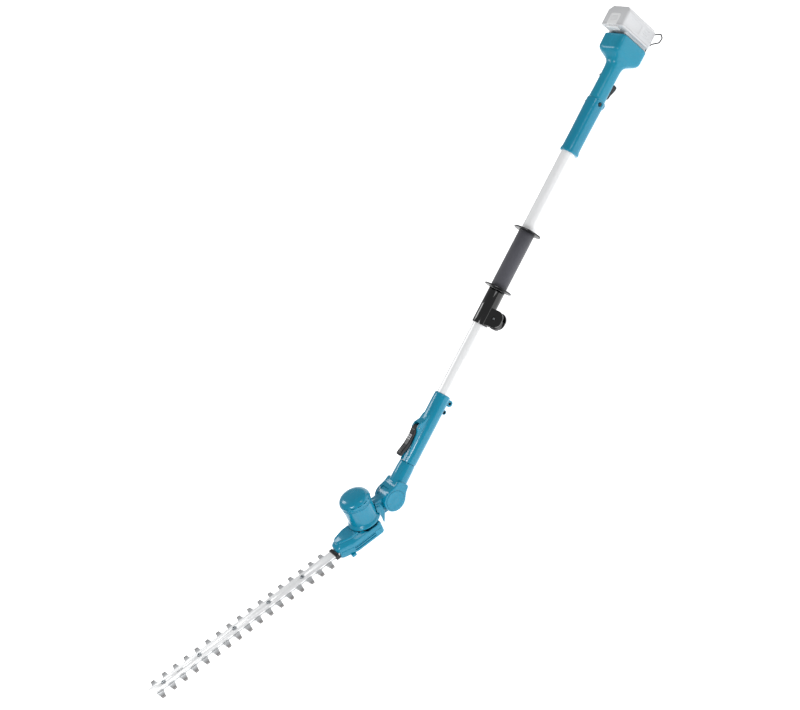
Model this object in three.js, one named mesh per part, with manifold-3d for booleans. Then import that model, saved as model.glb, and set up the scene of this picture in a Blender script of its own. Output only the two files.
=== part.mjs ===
// Cordless telescopic pole hedge trimmer, lying on the underside of its battery mount, in millimetres.
// The pole runs along X with the battery at +X, the adjusting lever is on top (+Z) and the trigger below.
// The blade head is tilted up about the pivot by headTilt. Head pieces are modelled in the head's own
// frame: the pivot is its origin, the blade points along -X and the motor stands on top (+Z).
import * as THREE from 'three';
import { mergeVertices } from 'three/addons/utils/BufferGeometryUtils.js';
import Module from 'manifold-3d';

const wasm = await Module();
wasm.setup();

// ---- driving dimensions ----
const gap = 0.3; // clearance between pieces that touch
const headTilt = 33; // degrees, blade above the line of the pole

// lengths along the pole, from the battery face towards the blade
const rearHousingLength = 160;
const frontHandleLength = 146;
const bareOuterTube = 213; // between the handle and the grip
const gripLength = 150;
const clampLength = 94;
const bareInnerTube = 192; // between the clamp and the adjusting housing, pole pushed in
const adjustLength = 188;
const couplingLength = 94; // from the adjusting housing to the pivot
const telescopeTravel = 450;
const tubeOverlapLeft = 80; // inner tube still inside the outer one when pulled out

// pole sections
const outerTubeRadius = 18.5;
const tubeWall = 1.4;
const tubeSlip = 0.35; // radial clearance of the sliding fit
const gripWall = 2; // foam around the outer tube
const flangeRadius = 36;
const flangeThickness = 7;
const clampWall = 2.5; // clamp sleeve around the outer tube
const adjustWall = 4.25; // adjusting housing around the inner tube

// handle and battery mount
const handleWall = 4.5; // handle shells beside the outer tube
const shellWall = 2.6;
const mountHalfWidth = 38;
const mountLength = 42;
const mountTop = 46;
const mountBottom = -48;

// battery pack
const packLength = 112;
const packWidth = 75;
const packDepth = 58;
const packWall = 2.4;
const packBottom = -44.5;
const cellRadius = 8.6;

// head
const knuckleRadius = 30;
const tongueHalf = 13.5;
const forkWall = 11;
const tongueClearance = 1;
const motorFromPivot = 84;
const drumRadius = 38;
const drumWall = 3;
const drumBottom = -8;
const drumTop = 54;
const capHeight = 20;
const bodyHalfWidth = 32;
const bodyRear = 58;
const bodyFront = 184;
const bodyTop = -14;
const bodyBottom = -52;
const bodySplit = -33.5;
const bodyWall = 3;
const ledgeHeight = 5.5;

// drive
const toothModule = 1.8;
const pinionTeeth = 8;
const gearTeeth = 27;
const eccentricThrow = 7.5;
const eccentricRadius = 9;
const yokeSlack = 2.6;

// cutting bar
const bladePitch = 30;
const bladeTeeth = 17;
const firstTooth = 216; // pivot to the middle of the tooth next to the housing
const toothReach = 35;
const bladeSpine = 11.5;
const bladeThickness = 2.4;
const barHalfWidth = 14;
const barThickness = 3.4;
const barTop = -34;
const barFrom = 146;
const boltCount = 5;
const boltSpacing = 98.4;
const firstBolt = 285;
const boltRadius = 3;

// ---- places worked out from the dimensions ----
const xSeam = -rearHousingLength;
const xHandleEnd = xSeam - frontHandleLength;
const xGripUpper = xHandleEnd - bareOuterTube;
const xGripLower = xGripUpper - gripLength - 2 * flangeThickness - 2 * gap;
const xClampUpper = xGripLower - gap;
const xClampLower = xClampUpper - clampLength;
const xAdjustUpper = xClampLower - bareInnerTube;
const xAdjustLower = xAdjustUpper - adjustLength;
const xPivot = xAdjustLower - couplingLength;
const outerTubeBore = outerTubeRadius - tubeWall;
const innerTubeRadius = outerTubeBore - tubeSlip;
const innerTubeBore = innerTubeRadius - tubeWall;
const gripRadius = outerTubeRadius + gripWall;
const clampRadius = outerTubeRadius + clampWall;
const adjustRadius = innerTubeRadius + adjustWall;
const handleHalfWidth = outerTubeRadius + handleWall;
const xOuterLower = xClampUpper - clampLength * 0.45;
const innerInOuter = telescopeTravel + tubeOverlapLeft;
const xInnerUpper = xOuterLower + innerInOuter;
const xInnerLower = xAdjustUpper - 44;
const xOuterUpper = xInnerUpper + 14;
const gearDistance = toothModule * (pinionTeeth + gearTeeth) / 2;
const gearCentre = motorFromPivot + gearDistance;
const gearTop = -17.5;
const gearThickness = 7;
const upperBladeTop = barTop - barThickness - gap;
const lowerBladeTop = upperBladeTop - bladeThickness - gap;
const lowerBladeBottom = lowerBladeTop - bladeThickness;
const bladeTip = firstTooth + bladePitch * (bladeTeeth - 1) + bladePitch * 0.3;
const barTip = bladeTip + eccentricThrow + 6;
const clampAngle = 68; // degrees from straight down towards the left side

// ---- geometry helpers ----
const wheelSides = 24;
const pinSides = 12;
const screwSides = 8;
const axisX = new THREE.Vector3(1, 0, 0);
const axisY = new THREE.Vector3(0, 1, 0);
const axisZ = new THREE.Vector3(0, 0, 1);
const radians = THREE.MathUtils.degToRad;

// A closed three.js geometry as a manifold solid, its shared vertices merged and empty faces dropped.
function solid(geometry) {
  const bare = new THREE.BufferGeometry();
  bare.setAttribute('position', geometry.getAttribute('position').clone());
  if (geometry.index) bare.setIndex(geometry.index.clone());
  const merged = mergeVertices(bare, 1e-4);
  const position = merged.getAttribute('position').array;
  const faces = [];
  let volume = 0;
  for (let i = 0; i < merged.index.count; i += 3) {
    const [a, b, c] = [0, 1, 2].map((k) => merged.index.getX(i + k));
    if (a === b || b === c || c === a) continue;
    faces.push(a, b, c);
    const [p, q, r] = [a, b, c].map((v) => new THREE.Vector3().fromArray(position, 3 * v));
    volume += p.dot(q.cross(r));
  }
  if (volume < 0) faces.reverse();
  return new wasm.Manifold(new wasm.Mesh({
    numProp: 3,
    vertProperties: new Float32Array(position),
    triVerts: new Uint32Array(faces),
  }));
}

function turnFromAxes(x, y, z) {
  return new THREE.Matrix4().makeBasis(x, y, z);
}

// An outline whose corners, given as [a, b, radius], are rounded. A rounding that is no larger than
// the softened edge of the slab is left to that edge.
function outline(corners, edge = 0) {
  const shape = new THREE.Shape();
  corners.forEach((corner, i) => {
    const at = new THREE.Vector2(corner[0], corner[1]);
    const before = corners[(i + corners.length - 1) % corners.length];
    const after = corners[(i + 1) % corners.length];
    const back = new THREE.Vector2(before[0], before[1]).sub(at);
    const on = new THREE.Vector2(after[0], after[1]).sub(at);
    const room = 0.42 * Math.min(back.length(), on.length());
    const rounding = Math.min(corner[2], room);
    const cut = 0.6 * rounding > edge ? rounding : 0;
    const into = back.setLength(cut).add(at);
    const out = on.setLength(cut).add(at);
    if (i === 0) shape.moveTo(into.x, into.y);
    else shape.lineTo(into.x, into.y);
    if (cut > 0) shape.quadraticCurveTo(at.x, at.y, out.x, out.y);
  });
  shape.closePath();
  return shape;
}

// An outline pushed out to a length, its two ends softened by an edge radius.
function push(shape, length, edge, steps) {
  const geometry = new THREE.ExtrudeGeometry(shape, {
    depth: length - 2 * edge,
    curveSegments: steps,
    bevelEnabled: edge > 0,
    bevelThickness: edge,
    bevelSize: edge,
    bevelOffset: -edge,
    bevelSegments: 3,
  });
  return geometry.translate(0, 0, edge);
}

// Outline in X and Z, pushed along Y from y0 to y1.
function sideSlab(corners, y0, y1, edge = 0, steps = 4) {
  const shape = corners instanceof THREE.Shape ? corners : outline(corners, edge);
  const turn = turnFromAxes(axisX, axisZ, axisY.clone().negate());
  return solid(push(shape, y1 - y0, edge, steps).applyMatrix4(turn).translate(0, y1, 0));
}

// Outline in X and Y, pushed along Z from z0 to z1.
function planSlab(corners, z0, z1, edge = 0, steps = 4) {
  const shape = corners instanceof THREE.Shape ? corners : outline(corners, edge);
  return solid(push(shape, z1 - z0, edge, steps).translate(0, 0, z0));
}

// Outline in Y and Z, pushed along X from x0 to x1.
function crossSlab(corners, x0, x1, edge = 0, steps = 4) {
  const shape = corners instanceof THREE.Shape ? corners : outline(corners, edge);
  const turn = turnFromAxes(axisY, axisZ, axisX);
  return solid(push(shape, x1 - x0, edge, steps).applyMatrix4(turn).translate(x0, 0, 0));
}

function block(x0, x1, y0, y1, z0, z1) {
  const box = new THREE.BoxGeometry(x1 - x0, y1 - y0, z1 - z0);
  return solid(box.translate((x0 + x1) / 2, (y0 + y1) / 2, (z0 + z1) / 2));
}

// A turned piece from a closed profile of [along, radius] points, about an axis through the origin.
function turned(profile, axis = 'x', sides = wheelSides) {
  const points = profile.map(([along, radius]) => new THREE.Vector2(radius, along));
  points.push(points[0].clone());
  const geometry = new THREE.LatheGeometry(points, sides);
  if (axis === 'x') geometry.rotateZ(-Math.PI / 2);
  if (axis === 'z') geometry.rotateX(Math.PI / 2);
  return solid(geometry);
}

function rod(radius, from, to, axis = 'x', sides = pinSides) {
  return turned([[from, 0], [from, radius], [to, radius], [to, 0]], axis, sides);
}

function ring(outer, bore, from, to, axis = 'x', sides = wheelSides) {
  return turned([[from, bore], [from, outer], [to, outer], [to, bore]], axis, sides);
}

// A spur wheel's outline, its straight-sided teeth thinned for running clearance.
function toothed(teeth, turn = 0) {
  const pitchRadius = toothModule * teeth / 2;
  const tip = pitchRadius + toothModule * 0.75;
  const root = pitchRadius - toothModule * 1.1;
  const step = 2 * Math.PI / teeth;
  const shape = new THREE.Shape();
  for (let i = 0; i < teeth; i++) {
    const middle = i * step + turn;
    const corners = [[root, -0.3], [tip, -0.11], [tip, 0.11], [root, 0.3]];
    corners.forEach(([radius, share], k) => {
      const angle = middle + share * step;
      const x = radius * Math.cos(angle);
      const y = radius * Math.sin(angle);
      if (i === 0 && k === 0) shape.moveTo(x, y);
      else shape.lineTo(x, y);
    });
  }
  shape.closePath();
  return shape;
}

// A helical spring's outer form as a plain sleeve.
function springSleeve(outer, from, to, axis) {
  return ring(outer, outer - 1.6, from, to, axis, pinSides);
}

function finish(colour, roughness, metalness) {
  return new THREE.MeshStandardMaterial({ color: colour, roughness, metalness });
}
const teal = finish(0x0a8299, 0.38, 0);
const tealLight = finish(0x2fa3b8, 0.4, 0);
const blackPlastic = finish(0x17191b, 0.42, 0);
const softGrip = finish(0x3d4046, 0.75, 0);
const aluminium = finish(0xd9dcdf, 0.3, 0.9);
const steel = finish(0x9aa0a5, 0.32, 1);
const darkSteel = finish(0x4b4f54, 0.4, 1);
const palePlastic = finish(0xd4d9db, 0.45, 0);
const copper = finish(0xa8643a, 0.4, 0.9);
const boardGreen = finish(0x1f5a3a, 0.5, 0);

// A manifold solid as a named mesh, placed in its group.
function piece(group, name, body, material) {
  const made = body.getMesh();
  const corners = new Float32Array(made.triVerts.length * 3);
  made.triVerts.forEach((vertex, i) => {
    for (let k = 0; k < 3; k++) corners[3 * i + k] = made.vertProperties[vertex * made.numProp + k];
  });
  const geometry = new THREE.BufferGeometry();
  geometry.setAttribute('position', new THREE.BufferAttribute(corners, 3));
  geometry.computeVertexNormals();
  const mesh = new THREE.Mesh(geometry, material);
  mesh.name = name;
  group.add(mesh);
  return mesh;
}

const tool = new THREE.Group();
const head = new THREE.Group();
head.position.set(xPivot, 0, 0);
head.rotation.y = radians(headTilt);
tool.add(head);

// The two halves of a clamshell, parted on the middle plane.
function halves(body) {
  const far = 4000;
  const left = body.intersect(block(-far, far, -far, -gap / 2, -far, far));
  const right = body.intersect(block(-far, far, gap / 2, far, -far, far));
  return [left, right];
}

// ---- handle and rear housing ----
const handleTop = outerTubeRadius + gap + shellWall + 1;
const handleBottom = -handleTop - 3;
const lipDepth = 3.5;
const lapWidth = 5;
const screwBoss = 4.2;
const screwRadius = 2;
const screwHead = 3.6;
const screwPlaces = [
  [xSeam - 11, 13],
  [xSeam + 62, 13],
  [-mountLength / 2 - 2, -34],
];
const triggerPivot = [xSeam + 14, handleBottom + 9];
const triggerLength = 44;

// The handle's rounded section, its walls moved in by an inset.
function handleSection(x0, x1, inset, grow = 0, edge = 0) {
  const half = handleHalfWidth - inset + grow;
  const top = handleTop - inset + grow;
  const bottom = handleBottom + inset - grow * 1.6;
  const round = 15 - inset;
  return crossSlab([
    [-half, bottom, round],
    [half, bottom, round],
    [half, top, round],
    [-half, top, round],
  ], x0, x1, edge, 4);
}

function mountOutline(inset) {
  return [
    [-mountLength - 14 + inset, handleBottom + 4, 6],
    [-mountLength + 4 + inset, mountBottom + inset, 5],
    [-gap - inset * 0.8, mountBottom + inset, 3],
    [-gap - inset * 0.8, mountTop - inset, 4],
    [-mountLength + 12 + inset, mountTop - inset, 8],
    [-mountLength - 10 + inset, handleTop - 2, 8],
  ];
}

function housingBody() {
  const w = shellWall;
  const handleTo = -mountLength + 10;
  const stop = crossSlab([
    [-10, handleBottom - 5, 4],
    [10, handleBottom - 5, 4],
    [14, handleBottom + 6, 2],
    [-14, handleBottom + 6, 2],
  ], xSeam - 12, xSeam + 6, 3, 3);
  const skin = handleSection(xHandleEnd, handleTo, 0)
    .add(handleSection(xHandleEnd, xHandleEnd + 12, 0, lipDepth, 3))
    .add(sideSlab(mountOutline(0), -mountHalfWidth, mountHalfWidth, 5, 3));
  const hollow = handleSection(xHandleEnd + w, handleTo + 6, w)
    .add(sideSlab(mountOutline(w), w - mountHalfWidth, mountHalfWidth - w, 3, 3));
  let body = skin.add(stop).subtract(hollow);
  for (const [x, z] of screwPlaces) {
    const reach = x > -mountLength ? mountHalfWidth - 1 : handleHalfWidth - 1;
    body = body.add(rod(screwBoss, -reach, reach, 'y').translate([x, 0, z]));
  }
  return body;
}

function housingCuts() {
  const tubeHole = rod(outerTubeRadius + gap, xHandleEnd - 10, xOuterUpper + gap, 'x', wheelSides);
  const [px, pz] = triggerPivot;
  const triggerSlot = block(px - 4, px + triggerLength + 3, -8, 8, handleBottom - 12, pz + 7);
  const lockHole = rod(5.3, -handleHalfWidth - 2, 0, 'y').translate([xSeam - 8, 0, -2]);
  const terminalSlot = block(-12, 6, -22, 22, -18, 26);
  let cuts = tubeHole.add(triggerSlot).add(lockHole).add(terminalSlot);
  for (const [x, z] of screwPlaces) {
    cuts = cuts.add(rod(screwRadius + gap, -60, 60, 'y').translate([x, 0, z]));
    const seat = x > -mountLength ? mountHalfWidth : handleHalfWidth;
    cuts = cuts.add(rod(screwHead + gap, seat - 4 - gap, seat + 1, 'y').translate([x, 0, z]));
  }
  return cuts;
}

// Gives the right half a tongue of the mount's flat underside, so the seam runs beside its middle.
function lapJoint([left, right], whole) {
  const above = mountBottom + shellWall + gap;
  const tongue = block(-mountLength + 6, -12, -lapWidth, gap, mountBottom - 1, above);
  const room = block(-mountLength + 6 - gap, -12 + gap, -lapWidth - gap, gap, mountBottom - 1, above);
  return [left.subtract(room), right.add(whole.intersect(tongue))];
}

function makeHousing() {
  const whole = housingBody().subtract(housingCuts());
  const hinge = rod(2.2, -handleHalfWidth, handleHalfWidth, 'y').translate([triggerPivot[0], 0, triggerPivot[1]]);
  const hanger = hangerHinge(wire / 2 + gap);
  const parts = lapJoint(halves(whole.subtract(hinge).subtract(hanger)), whole);
  const names = ['left', 'right'];
  parts.forEach((half, i) => {
    const front = half.intersect(block(-4000, xSeam - gap / 2, -99, 99, -99, 99));
    const rear = half.intersect(block(xSeam + gap / 2, 99, -99, 99, -99, 99));
    piece(tool, `handle_shell_${names[i]}`, keepBiggest(front), teal);
    piece(tool, `rear_housing_${names[i]}`, keepBiggest(rear), tealLight);
  });
  screwPlaces.forEach(([x, z], i) => {
    const seat = x > -mountLength ? mountHalfWidth : handleHalfWidth;
    const shank = rod(screwRadius, -seat + 5, seat - 2, 'y', screwSides);
    const cap = rod(screwHead, seat - 4, seat - 1.4, 'y', screwSides);
    piece(tool, `housing_screw_${i + 1}`, shank.add(cap).translate([x, 0, z]), darkSteel);
  });
}

// The largest body of a solid that a cut may have left in pieces.
function keepBiggest(body) {
  const parts = body.decompose();
  parts.sort((a, b) => b.volume() - a.volume());
  return parts[0];
}

function makeTrigger() {
  const [px, pz] = triggerPivot;
  const top = pz + 5;
  const corners = [
    [px - 3, top, 2],
    [px - 3, pz - 6, 2],
    [px + 8, handleBottom - 4, 6],
    [px + triggerLength - 10, handleBottom - 13, 8],
    [px + triggerLength, handleBottom - 12, 3],
    [px + triggerLength, top - 3, 2],
  ];
  const bore = rod(2 + gap, -9, 9, 'y').translate([px, 0, pz]);
  piece(tool, 'trigger', sideSlab(corners, -6.6, 6.6, 2, 4).subtract(bore), blackPlastic);
  const pin = rod(2, -handleHalfWidth + 6, handleHalfWidth - 6, 'y', 12);
  piece(tool, 'trigger_pin', pin.translate([px, 0, pz]), steel);
  const seat = top + gap;
  const spring = springSleeve(3, seat, seat + 7, 'z').translate([px + triggerLength - 12, 0, 0]);
  piece(tool, 'trigger_spring', spring, steel);
}

function makeElectrics() {
  const button = rod(5, -handleHalfWidth - 1.2, -handleHalfWidth + 9, 'y');
  piece(tool, 'lock_off_button', button.translate([xSeam - 8, 0, -2]), blackPlastic);
  const switchBody = block(xSeam + 22, xSeam + 50, -9, 9, 4, 15);
  piece(tool, 'switch_unit', switchBody, blackPlastic);
  const boardX = -mountLength + 4;
  piece(tool, 'controller_board', block(boardX, boardX + 14, -30, 30, -14, 14), boardGreen);
  const body = block(-8, 4.5, -19, 19, -16, 22);
  const blades = [-11, 0, 11].map((y) => block(4, 8, y - 0.8, y + 0.8, -14, 6));
  piece(tool, 'terminal_block', blades.reduce((sum, blade) => sum.add(blade), body), blackPlastic);
}

// ---- wire hanger at the foot of the battery mount ----
const wire = 3;
const hangerX = -7;
const hangerZ = mountBottom + wire / 2 + 0.1;
const hangerInner = 10;
const hangerOuter = 26;

// The cross rod of the hanger, grown by a clearance where it cuts its seat.
function hangerHinge(extra) {
  const seat = rod(extra, -hangerOuter - wire, -hangerInner + wire, 'y').translate([hangerX, 0, hangerZ]);
  const slotA = block(hangerX, 9, -hangerOuter - extra, -hangerOuter + extra, mountBottom - 1, hangerZ + extra);
  const slotB = block(hangerX, 9, -hangerInner - extra, -hangerInner + extra, mountBottom - 1, hangerZ + extra);
  const swing = block(hangerX - extra, 9, -hangerOuter - extra, -hangerInner + extra, mountBottom - 9, hangerZ);
  return seat.add(slotA).add(slotB).add(swing);
}

function makeHanger() {
  const reach = packDepth - 4;
  const side = packWidth / 2 + 22;
  const path = new THREE.CatmullRomCurve3([
    [hangerX, -hangerOuter],
    [reach * 0.3, -hangerOuter],
    [reach * 0.42, -hangerOuter - 8],
    [reach * 0.42 + 3, -side + 10],
    [reach * 0.42 + 12, -side],
    [reach - 8, -side],
    [reach, -side + 12],
    [reach - 2, -hangerInner - 14],
    [reach - 12, -hangerInner],
    [hangerX, -hangerInner],
  ].map(([x, y]) => new THREE.Vector3(x, y, hangerZ)), false, 'catmullrom', 0.3);
  const section = new THREE.Shape().absarc(0, 0, wire / 2, 0, 2 * Math.PI);
  const bend = solid(new THREE.ExtrudeGeometry(section, { steps: 40, curveSegments: 3, extrudePath: path }));
  const cross = rod(wire / 2, -hangerOuter, -hangerInner, 'y', 8).translate([hangerX, 0, hangerZ]);
  const whole = bend.add(cross);
  piece(tool, 'hanger_loop', whole, darkSteel);
}

// ---- battery pack ----
const packFace = 3.4;
const railDepth = 6;
const lidDepth = 5;
const buttonTravel = 2.5;
const packTop = packBottom + packLength;

function makeBattery() {
  const half = packWidth / 2;
  const caseFrom = packFace + railDepth;
  const caseTo = packFace + packDepth;
  const outer = [
    [caseFrom, packBottom, 3],
    [caseTo, packBottom, 9],
    [caseTo, packTop - 6, 12],
    [caseTo - 14, packTop, 8],
    [caseFrom, packTop, 3],
  ];
  const w = packWall;
  const inner = [
    [caseFrom - 5, packBottom + w, 0],
    [caseTo - w, packBottom + w, 7],
    [caseTo - w, packTop - 6 - w, 9],
    [caseTo - 14 - w, packTop - w, 6],
    [caseFrom - 5, packTop - w, 0],
  ];
  const shell = sideSlab(outer, -half, half, 5, 3).subtract(sideSlab(inner, w - half, half - w, 3, 3));
  const lidBack = caseFrom + lidDepth;
  const frontCut = block(caseFrom - 9, lidBack + gap, -99, 99, packBottom - 9, packTop + 9);
  piece(tool, 'battery_case', shell.subtract(frontCut), palePlastic);

  const lidPlan = sideSlab(outer, -half, half, 5, 3).intersect(
    block(caseFrom, lidBack, -99, 99, packBottom - 9, packTop + 9),
  );
  const rail = block(packFace, caseFrom + 1, -half + 7, half - 7, packBottom + 3, packTop - 30);
  const terminalWay = block(packFace - 1, caseFrom - 0.6, -19 - 1.2, 19 + 1.2, packBottom - 1, 24);
  const buttonSeat = block(packFace - 1, caseFrom + lidDepth - 1, -17, 17, packTop - 24, packTop + 1);
  const lid = lidPlan.add(rail).subtract(terminalWay).subtract(buttonSeat);
  piece(tool, 'battery_lid', lid, blackPlastic);

  const buttonFace = caseFrom - 3.4;
  const buttonBack = caseFrom + lidDepth - 1 - buttonTravel - 2 * gap;
  const button = sideSlab([
    [buttonFace, packTop - 22, 1],
    [buttonBack, packTop - 22, 0.5],
    [buttonBack, packTop - 4, 0.5],
    [buttonFace + 1, packTop - 4, 1.5],
  ], -16.4, 16.4, 1, 2);
  piece(tool, 'battery_release_button', button, palePlastic);

  const rows = 2;
  const columns = 5;
  const cellStep = (packLength - 2 * w - 6) / columns;
  let cells = null;
  for (let row = 0; row < rows; row++) {
    for (let column = 0; column < columns; column++) {
      const x = lidBack + 3 + cellRadius + row * (2 * cellRadius + 1.6);
      const z = packBottom + w + 3 + cellStep * (column + 0.5);
      const cell = rod(cellRadius, -half + w + 2, half - w - 2, 'y', 8).translate([x, 0, z]);
      cells = cells ? cells.add(cell) : cell;
    }
  }
  const holderFrom = lidBack + 3 + cellRadius - 2;
  const holder = block(holderFrom, holderFrom + 2 * cellRadius + 5, -3, 3, packBottom + w + 8, packTop - w - 10);
  piece(tool, 'battery_cells', cells.add(holder), tealLight);
}

// ---- outer tube, grip and clamp ----
function makeGripAndTubes() {
  const outerTube = ring(outerTubeRadius, outerTubeBore, xOuterLower, xOuterUpper);
  piece(tool, 'outer_tube', outerTube, aluminium);
  const bore = outerTubeRadius + gap;
  const upper = xGripUpper;
  const flange = (from) => turned([
    [from, bore],
    [from, flangeRadius - 2],
    [from + 1.5, flangeRadius],
    [from + flangeThickness - 1.5, flangeRadius],
    [from + flangeThickness, flangeRadius - 2],
    [from + flangeThickness, bore],
  ]);
  piece(tool, 'grip_flange_upper', flange(upper - flangeThickness), blackPlastic);
  piece(tool, 'grip_flange_lower', flange(xGripLower), blackPlastic);
  const gripFrom = xGripLower + flangeThickness + gap;
  piece(tool, 'grip_sleeve', ring(gripRadius, bore, gripFrom, gripFrom + gripLength), softGrip);
}

const camStand = 14; // cam pin above the outside of the clamp sleeve
const camPinRadius = 2.5;
const camEarGap = 8.5;
const camEar = 4.5;
const camHalf = 22;
const camAway = clampRadius + camStand; // pole axis to the cam pin
const camReach = camAway + camHalf; // pole axis to the rounded end of the ears
const camX = xClampUpper - clampLength * 0.72;

// Turns a piece made straight below the pole round to the clamp's own angle.
function toClampSide(body) {
  return body.rotate([-clampAngle, 0, 0]);
}

function makeClamp() {
  const step = xOuterLower - gap;
  const sleeve = turned([
    [xClampLower, innerTubeRadius + tubeSlip],
    [xClampLower, clampRadius - 1.5],
    [xClampLower + 2, clampRadius],
    [xClampUpper - gap, clampRadius],
    [xClampUpper - gap, outerTubeRadius + gap],
    [step, outerTubeRadius + gap],
    [step, innerTubeRadius + tubeSlip],
  ]);
  const earRoot = -clampRadius * 0.5;
  const earOutline = [
    [camX - camHalf, earRoot, 0],
    [camX - camHalf, -camReach, 18],
    [camX + camHalf, -camReach, 18],
    [camX + camHalf, earRoot, 0],
  ];
  let ears = null;
  for (const side of [-1, 1]) {
    const near = side * camEarGap;
    const far = side * (camEarGap + camEar);
    const ear = sideSlab(earOutline, Math.min(near, far), Math.max(near, far), 0, 4);
    ears = ears ? ears.add(ear) : ear;
  }
  const pinHole = rod(camPinRadius + gap, -30, 30, 'y').translate([camX, 0, -camAway]);
  const split = block(xClampLower - 1, camX + 20, -1.2, 1.2, -clampRadius - 1, -innerTubeRadius);
  const cut = toClampSide(ears).subtract(rod(clampRadius - 1, xClampLower, xClampUpper, 'x', wheelSides));
  const whole = sleeve.add(cut).subtract(toClampSide(pinHole.add(split)));
  piece(tool, 'clamp_sleeve', whole, blackPlastic);
  const pinLength = camEarGap + camEar;
  const pin = rod(camPinRadius, -pinLength - 1, pinLength + 1, 'y').translate([camX, 0, -camAway]);
  piece(tool, 'clamp_pin', toClampSide(pin), steel);
  const half = camEarGap - gap;
  const cam = rod(camAway - clampRadius - 2 * gap, -half, half, 'y', wheelSides);
  const arm = sideSlab([
    [-camHalf - 2, 2, 3],
    [-camHalf - 2, -13, 8],
    [-9, -20, 9],
    [3, -19, 4],
    [8, -6, 2],
    [0, 6, 2],
  ], -half, half, 2, 4);
  const bore = rod(camPinRadius + gap, -30, 30, 'y');
  const lever = cam.add(arm).subtract(bore).translate([camX, 0, -camAway]);
  piece(tool, 'clamp_lever', toClampSide(lever), blackPlastic);
}

// ---- inner tube and what is in it ----
function makeInnerTube() {
  piece(tool, 'inner_tube', ring(innerTubeRadius, innerTubeBore, xInnerLower, xInnerUpper), aluminium);
  const plugFrom = xInnerUpper - 16;
  const plug = turned([
    [plugFrom, 6],
    [plugFrom, innerTubeBore - gap],
    [xInnerUpper + gap, innerTubeBore - gap],
    [xInnerUpper + gap, innerTubeRadius],
    [xInnerUpper + 6, innerTubeRadius],
    [xInnerUpper + 6, 6],
  ]);
  piece(tool, 'inner_tube_guide', plug, blackPlastic);
  const leadFrom = xInnerLower + 30;
  const lead = ring(9, 6, leadFrom, xInnerUpper - 40, 'x', pinSides);
  piece(tool, 'coiled_lead', lead, blackPlastic);
}

// ---- adjusting housing ----
const leverLength = 82;
const leverEndSpace = 6; // lever tip to the lower end of the housing
const leverPinX = xAdjustLower + leverEndSpace + leverLength;
const leverPinZ = adjustRadius + 6;
const leverHalf = 8.5;
const bossRadius = 8.5;
const bossPlaces = [
  [xAdjustUpper - 14, -adjustRadius - 2, bossRadius],
  [xAdjustUpper - 39, -adjustRadius + 1, 6],
];
const housingWall = 3;

function makeAdjustHousing() {
  const body = turned([
    [xAdjustLower + gap, 0],
    [xAdjustLower + gap, adjustRadius - 0.5],
    [xAdjustLower + 4, adjustRadius],
    [xAdjustUpper - 6, adjustRadius],
    [xAdjustUpper, adjustRadius - 2],
    [xAdjustUpper, 0],
  ]);
  const saddle = sideSlab([
    [leverPinX - leverLength + 4, 4, 2],
    [leverPinX - leverLength + 8, adjustRadius + 1, 6],
    [leverPinX - 8, adjustRadius + 4, 6],
    [leverPinX - 4, leverPinZ + 6, 5],
    [leverPinX + 9, leverPinZ + 5, 6],
    [leverPinX + 44, adjustRadius - 2, 6],
    [leverPinX + 44, 4, 2],
  ], -leverHalf - 4.5, leverHalf + 4.5, 2.5, 3);
  let whole = body.add(saddle);
  for (const [x, z, radius] of bossPlaces) {
    whole = whole.add(rod(radius, -13, 13, 'y', pinSides).translate([x, 0, z]));
  }
  const tubeSeat = rod(innerTubeRadius + gap, xInnerLower - gap, xAdjustUpper + 2, 'x', wheelSides);
  const hollow = rod(adjustRadius - housingWall, xAdjustLower + 8, xInnerLower - 12, 'x', 20);
  const leadWay = rod(10, xAdjustLower - 2, xAdjustUpper, 'x');
  const leverWay = block(
    leverPinX - leverLength - 6, leverPinX + 11, -leverHalf - gap * 2, leverHalf + gap * 2,
    adjustRadius - 6, leverPinZ + 30,
  );
  const pinHole = rod(2.3, -30, 30, 'y').translate([leverPinX, 0, leverPinZ]);
  let cuts = tubeSeat.add(hollow).add(leadWay).add(leverWay).add(pinHole);
  for (const [x, z] of bossPlaces) {
    cuts = cuts.add(rod(screwRadius + gap, -30, 30, 'y').translate([x, 0, z]));
    cuts = cuts.add(rod(screwHead + gap, -14, -9, 'y').translate([x, 0, z]));
  }
  const names = ['left', 'right'];
  halves(whole.subtract(cuts)).forEach((half, i) => {
    piece(tool, `adjusting_housing_${names[i]}`, keepBiggest(half), teal);
  });
  bossPlaces.forEach(([x, z], i) => {
    const screw = rod(screwRadius, -11, 11, 'y', screwSides).add(rod(screwHead, -12.4, -9.4, 'y', screwSides));
    piece(tool, `adjusting_screw_${i + 1}`, screw.translate([x, 0, z]), darkSteel);
  });
}

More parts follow.
